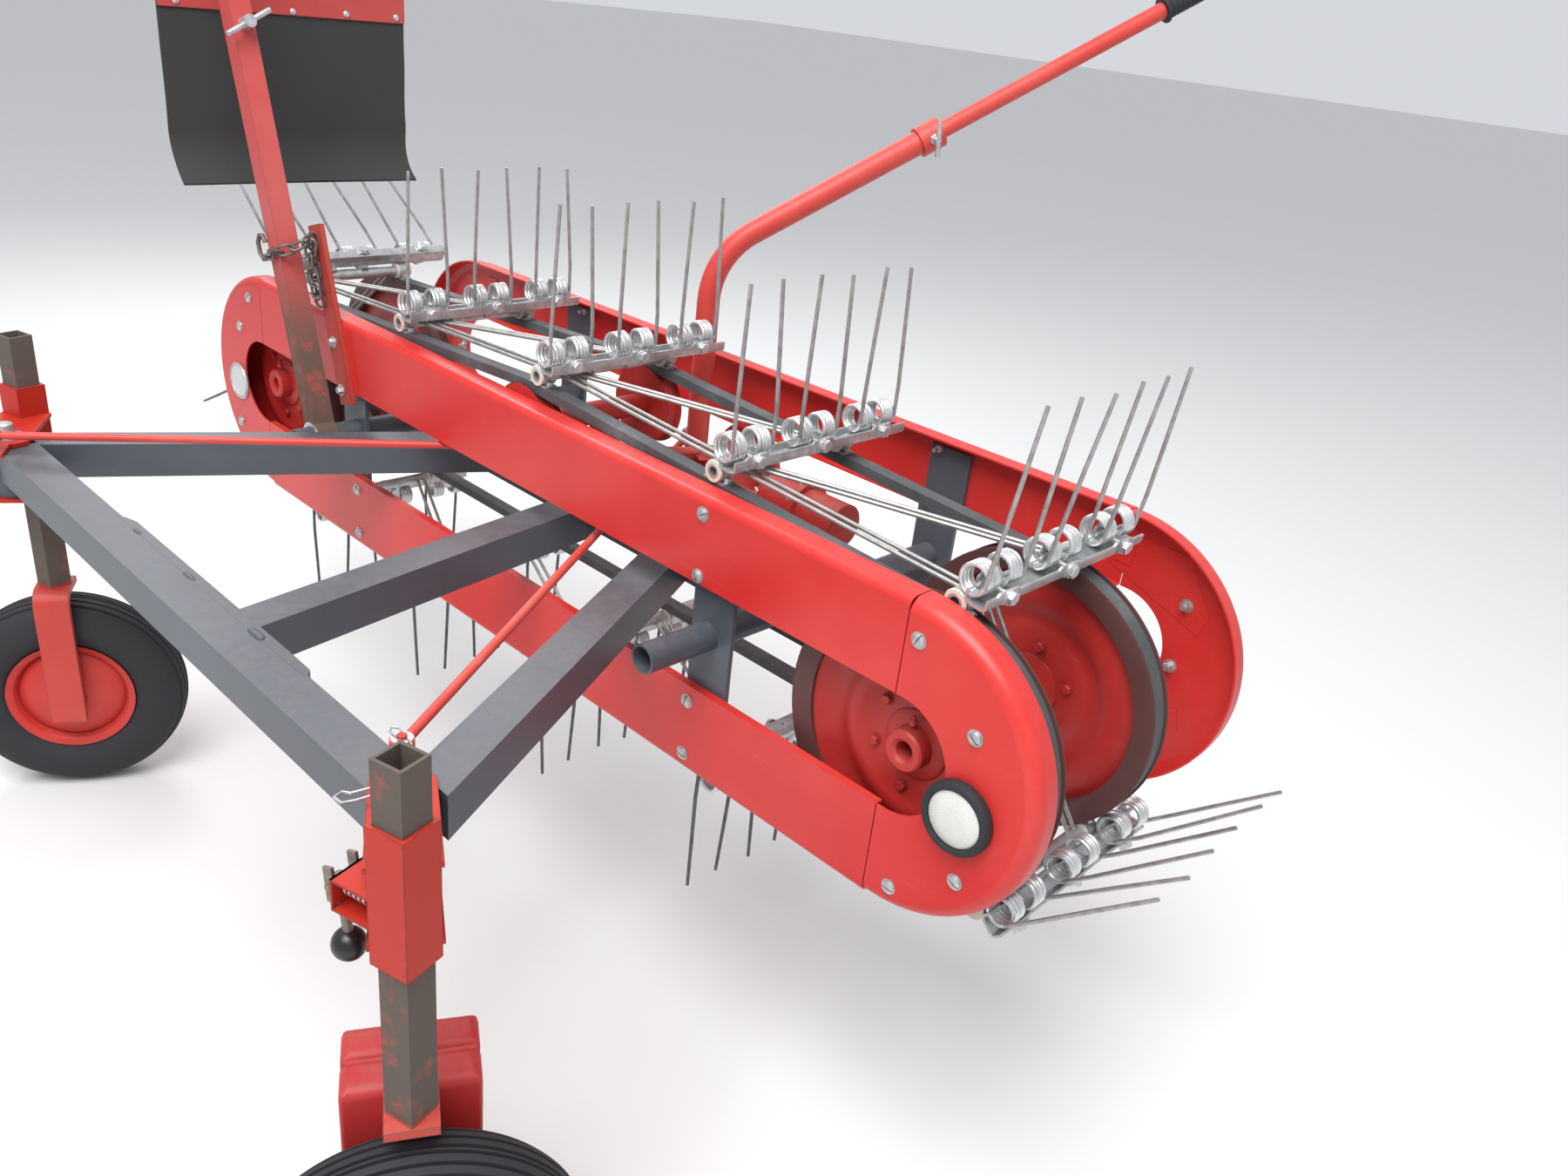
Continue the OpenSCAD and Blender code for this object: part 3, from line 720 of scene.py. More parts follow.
    def object(self, name: str, smooth: float = 35.0) -> bpy.types.Object:
        """Ends the mesh as an object in the scene.

        Args:
            name: the object's name.
            smooth: steepest edge that is shaded smooth, in degrees.

        Returns:
            The object.
        """
        bmesh.ops.remove_doubles(self.bm, verts=self.bm.verts, dist=1e-6)
        bmesh.ops.recalc_face_normals(self.bm, faces=self.bm.faces)
        for edge in self.bm.edges:
            edge.smooth = len(edge.link_faces) == 2 and edge.calc_face_angle(0.0) < math.radians(smooth)
        for face in self.bm.faces:
            face.smooth = True
        mesh = bpy.data.meshes.new(name)
        self.bm.to_mesh(mesh)
        self.bm.free()
        made = bpy.data.objects.new(name, mesh)
        bpy.context.scene.collection.objects.link(made)
        return made


def settle(
    shape: Shape,
    name: str,
    finish: Finish,
    body: str,
    stands_for: Sequence[str] = (),
    smooth: float = 35.0,
) -> bpy.types.Object:
    """Ends a shape as a dressed piece on its body.

    Args:
        shape: the shape.
        name: the piece's name.
        finish: its finish.
        body: the body it rides on.
        stands_for: CAD nodes that it replaces.
        smooth: steepest edge that is shaded smooth, in degrees.

    Returns:
        The piece.
    """
    piece = shape.object(name, smooth)
    piece.data.materials.append(finish.material())
    if stands_for:
        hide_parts(*stands_for)
    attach(piece, body)
    log.info("%s on %s", name, body)
    return piece


def helix(
    centre: Vector,
    axis: Vector,
    start: Vector,
    radius: float,
    pitch: float,
    turns: float,
    steps: int = 16,
) -> list[Vector]:
    """Points of a wound wire.

    Args:
        centre: middle of the first turn.
        axis: the coil's axis.
        start: direction of the first point from the centre.
        radius: middle radius of the coil.
        pitch: advance along the axis in one turn.
        turns: how many turns, negative to wind the other way.
        steps: points in one turn.

    Returns:
        The points.
    """
    along = axis.normalized()
    x = start.normalized()
    y = along.cross(x)
    n = max(2, int(abs(turns) * steps))
    out = []
    for i in range(n + 1):
        t = turns * i / n
        a = 2.0 * math.pi * t
        out.append(
            centre + along * (pitch * abs(t)) + x * (radius * math.cos(a)) + y * (radius * math.sin(a))
        )
    return out


# ---------------------------------------------------------------- sizes shared by the pieces

FACE_Y = -0.600
UP = Vector((0.0, 0.0, 1.0))
FRONT = Vector((0.0, -1.0, 0.0))
BACK = Vector((0.0, 1.0, 0.0))
RIGHT = Vector((1.0, 0.0, 0.0))


def ring(x: float, y: float, z: float) -> Vector:
    """A point from millimetres on the hoods' own axes, in the row frame."""
    return Vector((x / 1000.0, FACE_Y + y / 1000.0, z / 1000.0))


class Side(Enum):
    """Left or right end of the rake, as the sign of X."""

    LEFT = -1
    RIGHT = 1


def dress(finish: Finish, nodes: Iterable[str]) -> None:
    """Gives CAD nodes a finish.

    Args:
        finish: the finish.
        nodes: names of the nodes.
    """
    for name in nodes:
        node = frame["nodes"][name]
        node.data.materials.clear()
        node.data.materials.append(finish.material())
        log.info("%s dressed in %s", name, finish.name)


@dataclass
class Photographer:
    """The photograph's camera, solved from the rake's own straight lines."""

    place: Colour = (1.614, -1.705, 0.858)
    right: Colour = (0.7146, 0.6910, 0.1090)
    down: Colour = (0.3736, -0.2452, -0.8946)
    ahead: Colour = (-0.5914, 0.6800, -0.4334)
    focal_px: float = 1400.0
    width_px: float = 1800.0

    def build(self) -> None:
        """Adds the camera and makes it the scene's own."""
        data = bpy.data.cameras.new("camera")
        data.sensor_width = 36.0
        data.lens = 36.0 * self.focal_px / self.width_px
        data.clip_end = 200.0
        camera = bpy.data.objects.new("camera", data)
        rows = (Vector(self.right), -Vector(self.down), -Vector(self.ahead))
        camera.matrix_world = Matrix.Translation(self.place) @ Matrix(rows).transposed().to_4x4()
        bpy.context.scene.collection.objects.link(camera)
        bpy.context.scene.camera = camera


@dataclass
class Studio:
    """Pale floor and soft light."""

    floor_z: float = -0.729
    reach: float = 60.0
    sky: Colour = (0.93, 0.95, 1.0)
    sky_strength: float = 0.72
    panel_watts: float = 300.0

    def build(self) -> None:
        """Adds the floor, the world and two soft panels."""
        shape = Shape()
        shape.box(
            (-self.reach, -self.reach, -0.01), (self.reach, self.reach, 0.0),
            origin=Vector((0, 0, self.floor_z))
        )
        floor = shape.object("floor")
        floor.data.materials.append(FLOOR.material())
        self._world()
        self._panel("panel_high", Vector((1.2, -2.6, 4.2)), 3.2, self.panel_watts)
        self._panel("panel_side", Vector((-3.6, 0.8, 3.0)), 2.4, self.panel_watts * 0.35)
        bpy.context.scene.view_settings.view_transform = "Standard"

    def _world(self) -> None:
        """Even sky."""
        world = bpy.data.worlds.new("sky")
        bpy.context.scene.world = world
        world.use_nodes = True
        back = world.node_tree.nodes["Background"]
        back.inputs["Color"].default_value = (*self.sky, 1.0)
        back.inputs["Strength"].default_value = self.sky_strength

    @staticmethod
    def _panel(name: str, place: Vector, size: float, watts: float) -> None:
        """A square light aimed at the rake.

        Args:
            name: the light's name.
            place: where it hangs.
            size: its side.
            watts: its power.
        """
        data = bpy.data.lights.new(name, "AREA")
        data.size = size
        data.energy = watts
        light = bpy.data.objects.new(name, data)
        light.location = place
        light.rotation_euler = (Vector((0.0, -0.5, 0.0)) - place).to_track_quat("-Z", "Y").to_euler()
        bpy.context.scene.collection.objects.link(light)


# ---------------------------------------------------------------- belts and tine bars


@dataclass
class BeltRun:
    """The belts' path round the end pulleys and over the drive pulleys."""

    pulley_x: float = 0.868
    belt_r: float = 0.200
    belt_t: float = 0.016
    drive_z: float = 0.172
    drive_r: float = 0.073
    planes: tuple[float, float] = (-0.543, -0.285)
    bar_gap: float = 0.016

    @property
    def slope(self) -> float:
        """Rise of the upper run towards the middle, in radians."""
        length = math.hypot(self.pulley_x, self.drive_z)
        return math.atan(self.drive_z / self.pulley_x) - math.asin((self.belt_r - self.drive_r) / length)

    @property
    def bar_r(self) -> float:
        """Distance of a bar's axle tube from a pulley's axis."""
        return self.belt_r + self.belt_t / 2 + self.bar_gap

    def upper(self, x: float) -> Vector:
        """Place of a bar on the upper run, at x."""
        return Vector(
            (x, 0.0, self.bar_r / math.cos(self.slope) + (self.pulley_x - abs(x)) * math.tan(self.slope))
        )

    def lower(self, x: float) -> Vector:
        """Place of a bar on the lower run, at x."""
        return Vector((x, 0.0, -self.bar_r))

    def end(self, side: Side, degrees: float) -> Vector:
        """Place of a bar round an end pulley.

        Args:
            side: which pulley.
            degrees: angle from +X.

        Returns:
            The place.
        """
        a = math.radians(degrees)
        return Vector(
            (side.value * self.pulley_x + self.bar_r * math.cos(a), 0.0, self.bar_r * math.sin(a))
        )


@dataclass
class TineBar:
    """One bar with three double spring tines, on its two belt clamps."""

    name: str
    place: Vector
    lean: float
    seat: float
    fingers: Finish = FINGER
    start_y: float = -0.558
    length: float = 0.376
    tube_r: float = 0.011
    tube_length: float = 0.293
    channel: tuple[float, float] = (0.027, 0.008)
    flange_z: float = 0.022
    bolt_z: float = 0.022
    coil: tuple[float, float] = (0.012, 0.038)
    springs: tuple[float, ...] = (0.044, 0.182, 0.320)
    half: float = 0.030
    coil_r: float = 0.019
    wire_r: float = 0.0032
    tip: float = 0.275
    seat_drop: float = 0.016

    def turn(self, degrees: float) -> Matrix:
        """Rotation that sends Z to an angle from +X in the XZ plane, with Y kept."""
        return Matrix.Rotation(math.radians(90.0 - degrees), 3, "Y")

    def at(self, x: float, y: float, z: float) -> Vector:
        """A point from the bar's own axes: X across, Y along, Z outward."""
        base = Vector((self.place.x, self.start_y, self.place.z))
        return base + self.turn(self.lean) @ Vector((x, y, z))

    def build(self, node: str, planes: Sequence[float]) -> None:
        """Adds the bar's pieces.

        Args:
            node: the CAD node that they replace.
            planes: Y of the belts' middles.
        """
        settle(self._bar(), f"{self.name}_channel", ZINC, "rake_frame", [node])
        settle(self._fixings(), f"{self.name}_bolts", BRIGHT, "rake_frame")
        settle(self._coils(), f"{self.name}_coils", SPRING, "rake_frame")
        settle(self._fingers(), f"{self.name}_fingers", self.fingers, "rake_frame")
        self._clamps(planes)

    def _bar(self) -> Shape:
        """Axle tube with its lugs, and the pressed channel beside it."""
        shape = Shape()
        tube = [(0.0, 0.030), (0.0072, 0.030), (0.0072, 0.0), (0.0105, 0.0), (0.011, 0.0006)]
        shape.lathe([*tube, (0.011, self.tube_length), (0.0, self.tube_length)], self.at(0, 0, 0), BACK, 24)
        for y in (0.110, 0.182):
            shape.box(
                (0.0, y - 0.008, -0.003), (0.019, y + 0.008, 0.011), self.turn(self.lean), self.at(0, 0, 0)
            )
        x0, z0 = self.channel
        top = self.flange_z
        section = [
            (-0.009, 0.0), (0.009, 0.0), (0.0145, 0.0016), (0.017, 0.006), (0.017, top), (0.0135, top)
        ]
        section += [
            (0.0135, 0.0075), (0.011, 0.0048), (0.007, 0.004), (-0.007, 0.004), (-0.011, 0.0048),
            (-0.0135, 0.0075)
        ]
        section += [(-0.0135, top), (-0.017, top), (-0.017, 0.006), (-0.0145, 0.0016)]
        rows = []
        for y in self._stations():
            near = min(abs(y - s) for s in self.springs) < 0.0195
            low = 1.0 if near else 0.80
            rows.append([self.at(x0 + x, y, z0 + (z if z < 0.01 else z * low)) for x, z in section])
        shape.loft(rows)
        return shape

    def _fixings(self) -> Shape:
        """Clip plates between the coils, with their bolts, washers and nuts."""
        shape = Shape()
        turn = self.turn(self.lean)
        x0, _ = self.channel
        for k, s in enumerate(self.springs):
            plate = [
                (-0.0135, 0.014), (0.0135, 0.014), (0.0135, 0.037), (0.0105, 0.041), (-0.0105, 0.041),
                (-0.0135, 0.037)
            ]
            for x in (x0 - 0.0230, x0 + 0.0170):
                rows = [
                    [self.at(x + d, s + y, z if x < x0 else min(z, 0.033)) for y, z in plate]
                    for d in (0.0, 0.0028)
                ]
                shape.loft(rows)
            shape.tube(
                [self.at(x0 - 0.030, s, self.bolt_z), self.at(x0 + 0.020, s, self.bolt_z)], 0.0045, 12
            )
            seat = self.at(x0 + 0.0198, s, self.bolt_z)
            shape.disc(seat, turn @ RIGHT, 0.0112, 0.0018, steps=28)
            shape.hexagon(seat + turn @ (RIGHT * 0.0017), turn @ RIGHT, 0.0168, 0.0062, 14.0 + 33.0 * k)
            shape.hexagon(self.at(x0 - 0.0230, s, self.bolt_z), -(turn @ RIGHT), 0.0155, 0.0060, 40.0 * k)
        return shape

    def _stations(self) -> list[float]:
        """Places along the bar where its pressed section changes."""
        out = [0.0]
        for s in self.springs:
            out += [s - 0.024, s - 0.019, s + 0.019, s + 0.024]
        return out + [self.length]

    def _wires(self) -> Iterable[tuple[float, float, float]]:
        """Middle, side and leg place of each coil along the bar."""
        for s in self.springs:
            for side in (-1.0, 1.0):
                yield s, side, s + side * (self.half + 0.0105)

    def _coils(self) -> Shape:
        """Wound coils with their ends led under the clip plates."""
        shape = Shape()
        turn = self.turn(self.lean)
        x, z = self.coil
        for s, side, leg in self._wires():
            centre = self.at(x, leg, z)
            path = helix(
                centre, turn @ Vector((0, -side, 0)), turn @ RIGHT, self.coil_r, 0.0067, -side * 4.25, 18
            )
            last = self.at(x - 0.004, s + side * 0.004, z - 0.016)
            shape.tube([*path, path[-1].lerp(last, 0.6) + (turn @ UP) * -0.003, last], self.wire_r, 8)
        return shape

    def _fingers(self) -> Shape:
        """Straight legs that comb the hay, slightly uneven and drawn together at their tips."""
        shape = Shape()
        base = self.coil[0] + self.coil_r
        for k, (_, side, leg) in enumerate(self._wires()):
            sway = 0.004 * math.sin(5.1 * k + 40.0 * self.place.x)
            tip = self.tip - 0.003 + 0.003 * math.cos(3.7 * k + 9.0 * self.place.x)
            path = [self.at(base, leg, self.coil[1] - 0.002), self.at(base + 0.001, leg, 0.085)]
            path += [
                self.at(base + sway * 0.4, leg - side * 0.004, 0.17),
                self.at(base - 0.001 + sway, leg - side * 0.009, tip)
            ]
            shape.tube(path, [self.wire_r, self.wire_r, self.wire_r * 0.98, self.wire_r * 0.9], 8)
        return shape

    def _clamps(self, planes: Sequence[float]) -> None:
        """Bushes round the axle tube and the clips that hold them on the belts.

        Args:
            planes: Y of the belts' middles.
        """
        bushes, clips = Shape(), Shape()
        turn = self.turn(self.seat)
        drop = self.seat_drop
        for y in planes:
            hub = Vector((self.place.x, y, self.place.z))
            rim = [(self.tube_r, -0.015), (0.0160, -0.015), (0.0170, -0.013), (0.0150, -0.009)]
            rim += [(0.0150, 0.009), (0.0170, 0.013), (0.0160, 0.015), (self.tube_r, 0.015)]
            bushes.lathe(rim, hub, BACK, 28, closed=True)
            clips.box((-0.021, -0.0115, -drop), (0.021, 0.0115, 0.0026 - drop), turn, hub)
            band = [
                (0.0172 * math.cos(a), 0.0172 * math.sin(a))
                for a in (math.radians(-48 + 27.6 * k) for k in range(11))
            ]
            inner = [
                (0.0152 * math.cos(a), 0.0152 * math.sin(a))
                for a in (math.radians(228 - 27.6 * k) for k in range(11))
            ]
            rows = [[hub + turn @ Vector((x, h, z)) for x, z in band + inner] for h in (-0.008, 0.008)]
            clips.loft(rows)
            for side in (-1.0, 1.0):
                clips.hexagon(
                    hub + turn @ Vector((side * 0.0170, 0.0, 0.0026 - drop)), turn @ UP, 0.010, 0.006, 20.0
                )
        settle(bushes, f"{self.name}_bushes", BUSH, "rake_frame")
        settle(clips, f"{self.name}_clips", ZINC, "rake_frame")


@dataclass
class TineBelts:
    """The two belts, the eleven bars on them and the paired rods between bars."""

    run: BeltRun = field(default_factory=BeltRun)

    def bars(self) -> list[TineBar]:
        """The bars in order round the belts, from the right end over the top."""
        run = self.run
        slope = math.degrees(run.slope)
        rows: list[tuple[Vector, float, float, Finish]] = [
            (run.end(Side.RIGHT, 84.0), 82.0, 84.0, FINGER),
            (run.upper(0.457), 90.0, 90.0 - slope, FINGER),
            (run.upper(0.035), 90.0, 90.0 - slope, FINGER),
            (run.upper(-0.388), 91.0, 90.0 + slope, FINGER),
            (run.upper(-0.848), 145.0, 90.0 + slope, FINGER),
            # From the left end round the lower run the fingers take the darker finger steel, which is
            # painted shade.
            (run.end(Side.LEFT, 205.0), 205.0, 205.0, SHADED_FINGER),
            (run.lower(-0.740), 268.0, 270.0, SHADED_FINGER),
            (run.lower(-0.330), 267.0, 270.0, SHADED_FINGER),
            (run.lower(0.100), 268.0, 270.0, SHADED_FINGER),
            (run.lower(0.515), 268.0, 270.0, SHADED_FINGER),
            (run.end(Side.RIGHT, -52.0), 42.0, -52.0, FINGER),
        ]
        return [TineBar(f"bar_{k + 1}", *row) for k, row in enumerate(rows)]

    def build(self) -> None:
        """Dresses the belts and rods and builds the bars."""
        dress(BELT_RUBBER, ["front_belt", "rear_belt"])
        dress(ROD_STEEL, ["tie_rods"])
        for k, bar in enumerate(self.bars()):
            bar.build(f"tine_bar_{k + 1}", self.run.planes)


@dataclass
class EndPulleys:
    """Pressed discs with their grooved rims, joined by an axle."""

    side: Side
    planes: tuple[float, float] = (-0.543, -0.285)
    pulley_x: float = 0.868
    rim_r: float = 0.211
    belt_bed: float = 0.1915

    def build(self) -> None:
        """Builds the discs, rims, hubs and bolts of one end."""
        name = self.side.name.lower()
        centre = Vector((self.side.value * self.pulley_x, 0.0, 0.0))
        disc, rim, bolts = Shape(), Shape(), Shape()
        for y, way in zip(self.planes, (FRONT, BACK)):
            at = centre + Vector((0.0, y, 0.0))
            disc.lathe(self._disc(), at, way, 96, closed=True)
            disc.lathe(self._hub(), at, way, 40, closed=True)
            rim.lathe(self._rim(), at, way, 96, closed=True)
            for k in range(6):
                a = math.radians(60.0 * k + 22.0)
                spot = at + Vector((0.070 * math.cos(a), 0.0, 0.070 * math.sin(a)))
                for face in (1.0, -1.0):
                    bolts.disc(spot + way * (face * 0.0035), way * face, 0.009, 0.0015)
                    bolts.hexagon(spot + way * (face * 0.005), way * face, 0.013, 0.0065, 25.0 * k)
            nipple = at + Vector((0.0, 0.0, 0.036)) + way * 0.020
            bolts.lathe(
                [
                    (0.005, 0.0), (0.005, 0.006), (0.0025, 0.008), (0.0035, 0.012), (0.002, 0.014),
                    (0.0, 0.014)
                ],
                nipple, UP, 12
            )
        disc.tube(
            [
                centre + Vector((0, self.planes[0] + 0.035, 0)),
                centre + Vector((0, self.planes[1] - 0.035, 0))
            ],
            0.0197, 32
        )
        settle(disc, f"{name}_pulley_discs", PULLEY_RED, "rake_frame", [f"{name}_pulleys"])
        settle(rim, f"{name}_pulley_rims", GROOVE, "rake_frame")
        settle(bolts, f"{name}_pulley_bolts", PULLEY_RED, "rake_frame")

    def _disc(self) -> list[tuple[float, float]]:
        """Section of a pressed disc, its outer side first."""
        outer = [(0.030, 0.004), (0.052, 0.004), (0.084, 0.0035), (0.094, 0.0085), (0.104, 0.0105)]
        outer += [
            (0.116, 0.0085), (0.124, 0.003), (0.140, 0.001), (0.158, 0.004), (0.172, 0.008), (0.179, 0.010)
        ]
        inner = [(r, h - 0.005) for r, h in reversed(outer)]
        return outer + inner

    def _hub(self) -> list[tuple[float, float]]:
        """Section of the bored hub and its collar."""
        return [(0.0135, 0.030), (0.018, 0.034), (0.027, 0.034), (0.030, 0.031), (0.030, 0.010),
                (0.046, 0.0085), (0.050, 0.006), (0.050, -0.006), (0.030, -0.010), (0.030, -0.034),
                (0.0135, -0.034)]

    def _rim(self) -> list[tuple[float, float]]:
        """Section of the grooved rim."""
        b, w = self.belt_bed, 0.0128
        return [(b - 0.014, 0.004), (b - 0.014, w + 0.002), (self.rim_r - 0.004, w + 0.0065),
                (self.rim_r, w + 0.0055),
                (self.rim_r, w + 0.0035), (b, w), (b, -w), (self.rim_r, -w - 0.0035),
                (self.rim_r, -w - 0.0055),
                (self.rim_r - 0.004, -w - 0.0065), (b - 0.014, -w - 0.002), (b - 0.014, -0.002)]


@dataclass
class Drive:
    """Drive pulleys, gearbox, carrier and the neck to the tractor."""

    def build(self) -> None:
        """Dresses the nodes and adds the gearbox's bolts."""
        dress(PULLEY_RED, ["drive_pulleys"])
        dress(GEARBOX_RED, ["drive_gearbox", "coupling_neck"])
        dress(FRAME_GREY, ["inner_carrier"])
        bolts = Shape()
        for k in range(8):
            a = math.radians(45.0 * k + 10.0)
            spot = ring(300, 430, 48) + Vector((0.0, 0.045 * math.cos(a), 0.045 * math.sin(a)))
            bolts.hexagon(spot, -RIGHT, 0.010, 0.006, 33.0 * k)
        for k in range(4):
            a = math.radians(90.0 * k + 45.0)
            spot = ring(0, 586, 0) + Vector((0.060 * math.cos(a), 0.0, 0.060 * math.sin(a)))
            bolts.hexagon(spot, FRONT, 0.019, 0.010, 21.0 * k)
        settle(bolts, "gearbox_bolts", ZINC, "rake_frame")


# ---------------------------------------------------------------- hoods and frames


@dataclass
class Hoods:
    """Front and rear sheet hoods with their screws, lamp and reflector."""

    screws: tuple[tuple[float, float], ...] = (
        (488, 200), (488, 104), (488, -105), (488, -198), (-488, -105), (-488, -198),
        (879, 177), (983, 91), (996, -118), (900, -188), (-910, 177), (-964, 104), (-930, -170),
        (-996, -118),
    )

    def build(self) -> None:
        """Dresses the sheets and adds what is screwed on them."""
        for ring_name in ("front", "rear"):
            dress(
                HOOD_RED,
                [
                    f"{ring_name}_{part}"
                    for part in ("upper_channel", "lower_channel", "left_cap", "right_cap")
                ]
            )
        heads = Shape()
        for x, z in self.screws:
            heads.disc(ring(x, 0, z), FRONT, 0.0115, 0.0012)
            self._slotted(heads, ring(x, -1.2, z), 0.0095, 31.0 * x + z)
        settle(heads, "hood_screws", ZINC, "rake_frame")
        nuts = Shape()
        for x in (971, -971):
            for z in (104, 0, -104):
                nuts.disc(ring(x, 557, z), FRONT, 0.011, 0.0016)
                nuts.hexagon(ring(x, 555.4, z), FRONT, 0.013, 0.008, 17.0 * z + x)
                nuts.tube([ring(x, 556, z), ring(x, 541, z)], 0.0038, 10)
        settle(nuts, "rear_hood_nuts", ZINC, "rake_frame")
        self._tabs()
        self._lamp()
        self._reflector()

    @staticmethod
    def _slotted(shape: Shape, at: Vector, radius: float, spin: float) -> None:
        """Domed screw head with a slot.

        Args:
            shape: where it is drawn.
            at: middle of its seat.
            radius: its radius.
            spin: turn of the slot in degrees.
        """
        a = math.radians(spin)
        half = Vector((math.cos(a), 0.0, math.sin(a)))
        cross = Vector((-half.z, 0.0, half.x))
        for sign in (-1.0, 1.0):
            rows = []
            for q, h in ((1.0, 0.0), (0.97, 0.0022), (0.72, 0.0040), (0.30, 0.0047)):
                arc = []
                for k in range(9):
                    t = math.pi * k / 8.0
                    arc.append(
                        at + half * (radius * q * math.cos(t)) + cross * (
                            sign * (0.0011 + (radius - 0.0011) * q * math.sin(t))
                        ) + FRONT * h
                    )
                rows.append(arc)
            shape.loft(rows)

    def _tabs(self) -> None:
        """Joint plates behind the rear hood's round ends."""
        shape = Shape()
        for side in (-1.0, 1.0):
            for z, way in ((104.0, 1.0), (-104.0, -1.0)):
                outline = [(830, 40), (1000, -20), (1010, 14), (960, 96), (830, 96)]
                points = [ring(side * x, 0, z + way * (h - 20)) for x, h in outline]
                rows = [[p + Vector((0, 0.5560 + d, 0)) for p in points] for d in (0.0, 0.0009)]
                shape.loft(rows)
        settle(shape, "rear_joint_plates", HOOD_RED, "rake_frame")

    def _lamp(self) -> None:
        """Round marker lamp in its rubber ring."""
        centre = ring(984, 0, -22)
        rubber, lens = Shape(), Shape()
        profile = [
            (0.0, 0.0), (0.049, 0.0), (0.0505, 0.004), (0.0505, 0.012), (0.048, 0.0165), (0.043, 0.018),
            (0.0395, 0.016), (0.0390, 0.008), (0.0, 0.008)
        ]
        rubber.lathe(profile, centre, FRONT, 56)
        lens.lathe(
            [
                (0.0388, 0.008), (0.0388, 0.0135), (0.036, 0.0155), (0.024, 0.0180), (0.012, 0.0192),
                (0.0, 0.0195)
            ],
            centre, FRONT, 56
        )
        settle(rubber, "lamp_ring", BLACK_RUBBER, "rake_frame", ["marker_lamp"])
        settle(lens, "lamp_glass", LAMP_LENS, "rake_frame")

    def _reflector(self) -> None:
        """Round reflector with its bright rim."""
        centre = ring(-984, 0, -22)
        rim, lens = Shape(), Shape()
        rim.lathe(
            [
                (0.0, 0.0), (0.040, 0.0), (0.0405, 0.003), (0.038, 0.0065), (0.0355, 0.0065),
                (0.035, 0.004), (0.0, 0.004)
            ],
            centre, FRONT, 48
        )
        lens.lathe([(0.0349, 0.004), (0.0345, 0.0058), (0.020, 0.0072), (0.0, 0.0078)], centre, FRONT, 48)
        settle(rim, "reflector_rim", ZINC, "rake_frame", ["reflector"])
        settle(lens, "reflector_glass", REFLECTOR_LENS, "rake_frame")


@dataclass
class Frames:
    """Grey side frames, crossbeam and beams, with welds, slots and bolts."""

    bar_outline: tuple[tuple[float, float], ...] = (
        (-0.232, -0.520), (0.343, -0.520), (0.345, -0.515), (0.335, -0.5065), (0.280, -0.5055),
        (-0.205, -0.5055), (-0.232, -0.514)
    )
    bar_low: float = 0.024
    bar_height: float = 0.0222
    weld_y: float = -0.5185
    weld_z: float = 0.0440
    welds: Places = (
        (-0.182, -0.156, 0.0042),
        (-0.006, 0.027, 0.0048),
        (0.196, 0.234, 0.0068),
    )

    def build(self) -> None:
        """Dresses the frames and adds their small parts."""
        dress(
            FRAME_GREY,
            [
                "left_side_frame", "right_side_frame", "front_crossbeam", "left_beam", "middle_beam",
                "right_beam"
            ]
        )
        dress(HOOK_RED, ["hook_bar"])
        self._back_bar()
        self._bolts()

    def _back_bar(self) -> None:
        """Flat bar behind the crossbeam, held by three short welds."""
        shape = Shape()
        shape.prism(
            self.bar_outline, Vector((0.0, FACE_Y, self.bar_low)), Matrix.Identity(3), self.bar_height
        )
        for x0, x1, r in self.welds:
            places = [x0 + (x1 - x0) * t for t in (0.0, 0.04, 0.18, 0.5, 0.82, 0.96, 1.0)]
            points = [Vector((x, FACE_Y + self.weld_y, self.weld_z)) for x in places]
            shape.tube(points, [r * q for q in (0.25, 0.62, 0.92, 1.0, 0.96, 0.66, 0.3)], 14)
        settle(shape, "crossbeam_bar", FRAME_GREY, "rake_frame")

    def _bolts(self) -> None:
        """Bolts of the side frames behind the hoods."""
        shape = Shape()
        for x in (488, -488):
            for z in (200, 104, -105, -198):
                shape.hexagon(ring(x, 549, z), FRONT, 0.013, 0.008, 13.0 * z)
                shape.tube([ring(x, 545, z), ring(x, 530, z)], 0.0038, 10)
        for x, z in ((-513, 93), (-534, 181)):
            shape.disc(ring(x, -10, z), FRONT, 0.0115, 0.0016)
            shape.hexagon(ring(x, -11.6, z), FRONT, 0.013, 0.0075, 0.3 * z)
        settle(shape, "side_frame_bolts", ZINC, "rake_frame")


# ---------------------------------------------------------------- castors


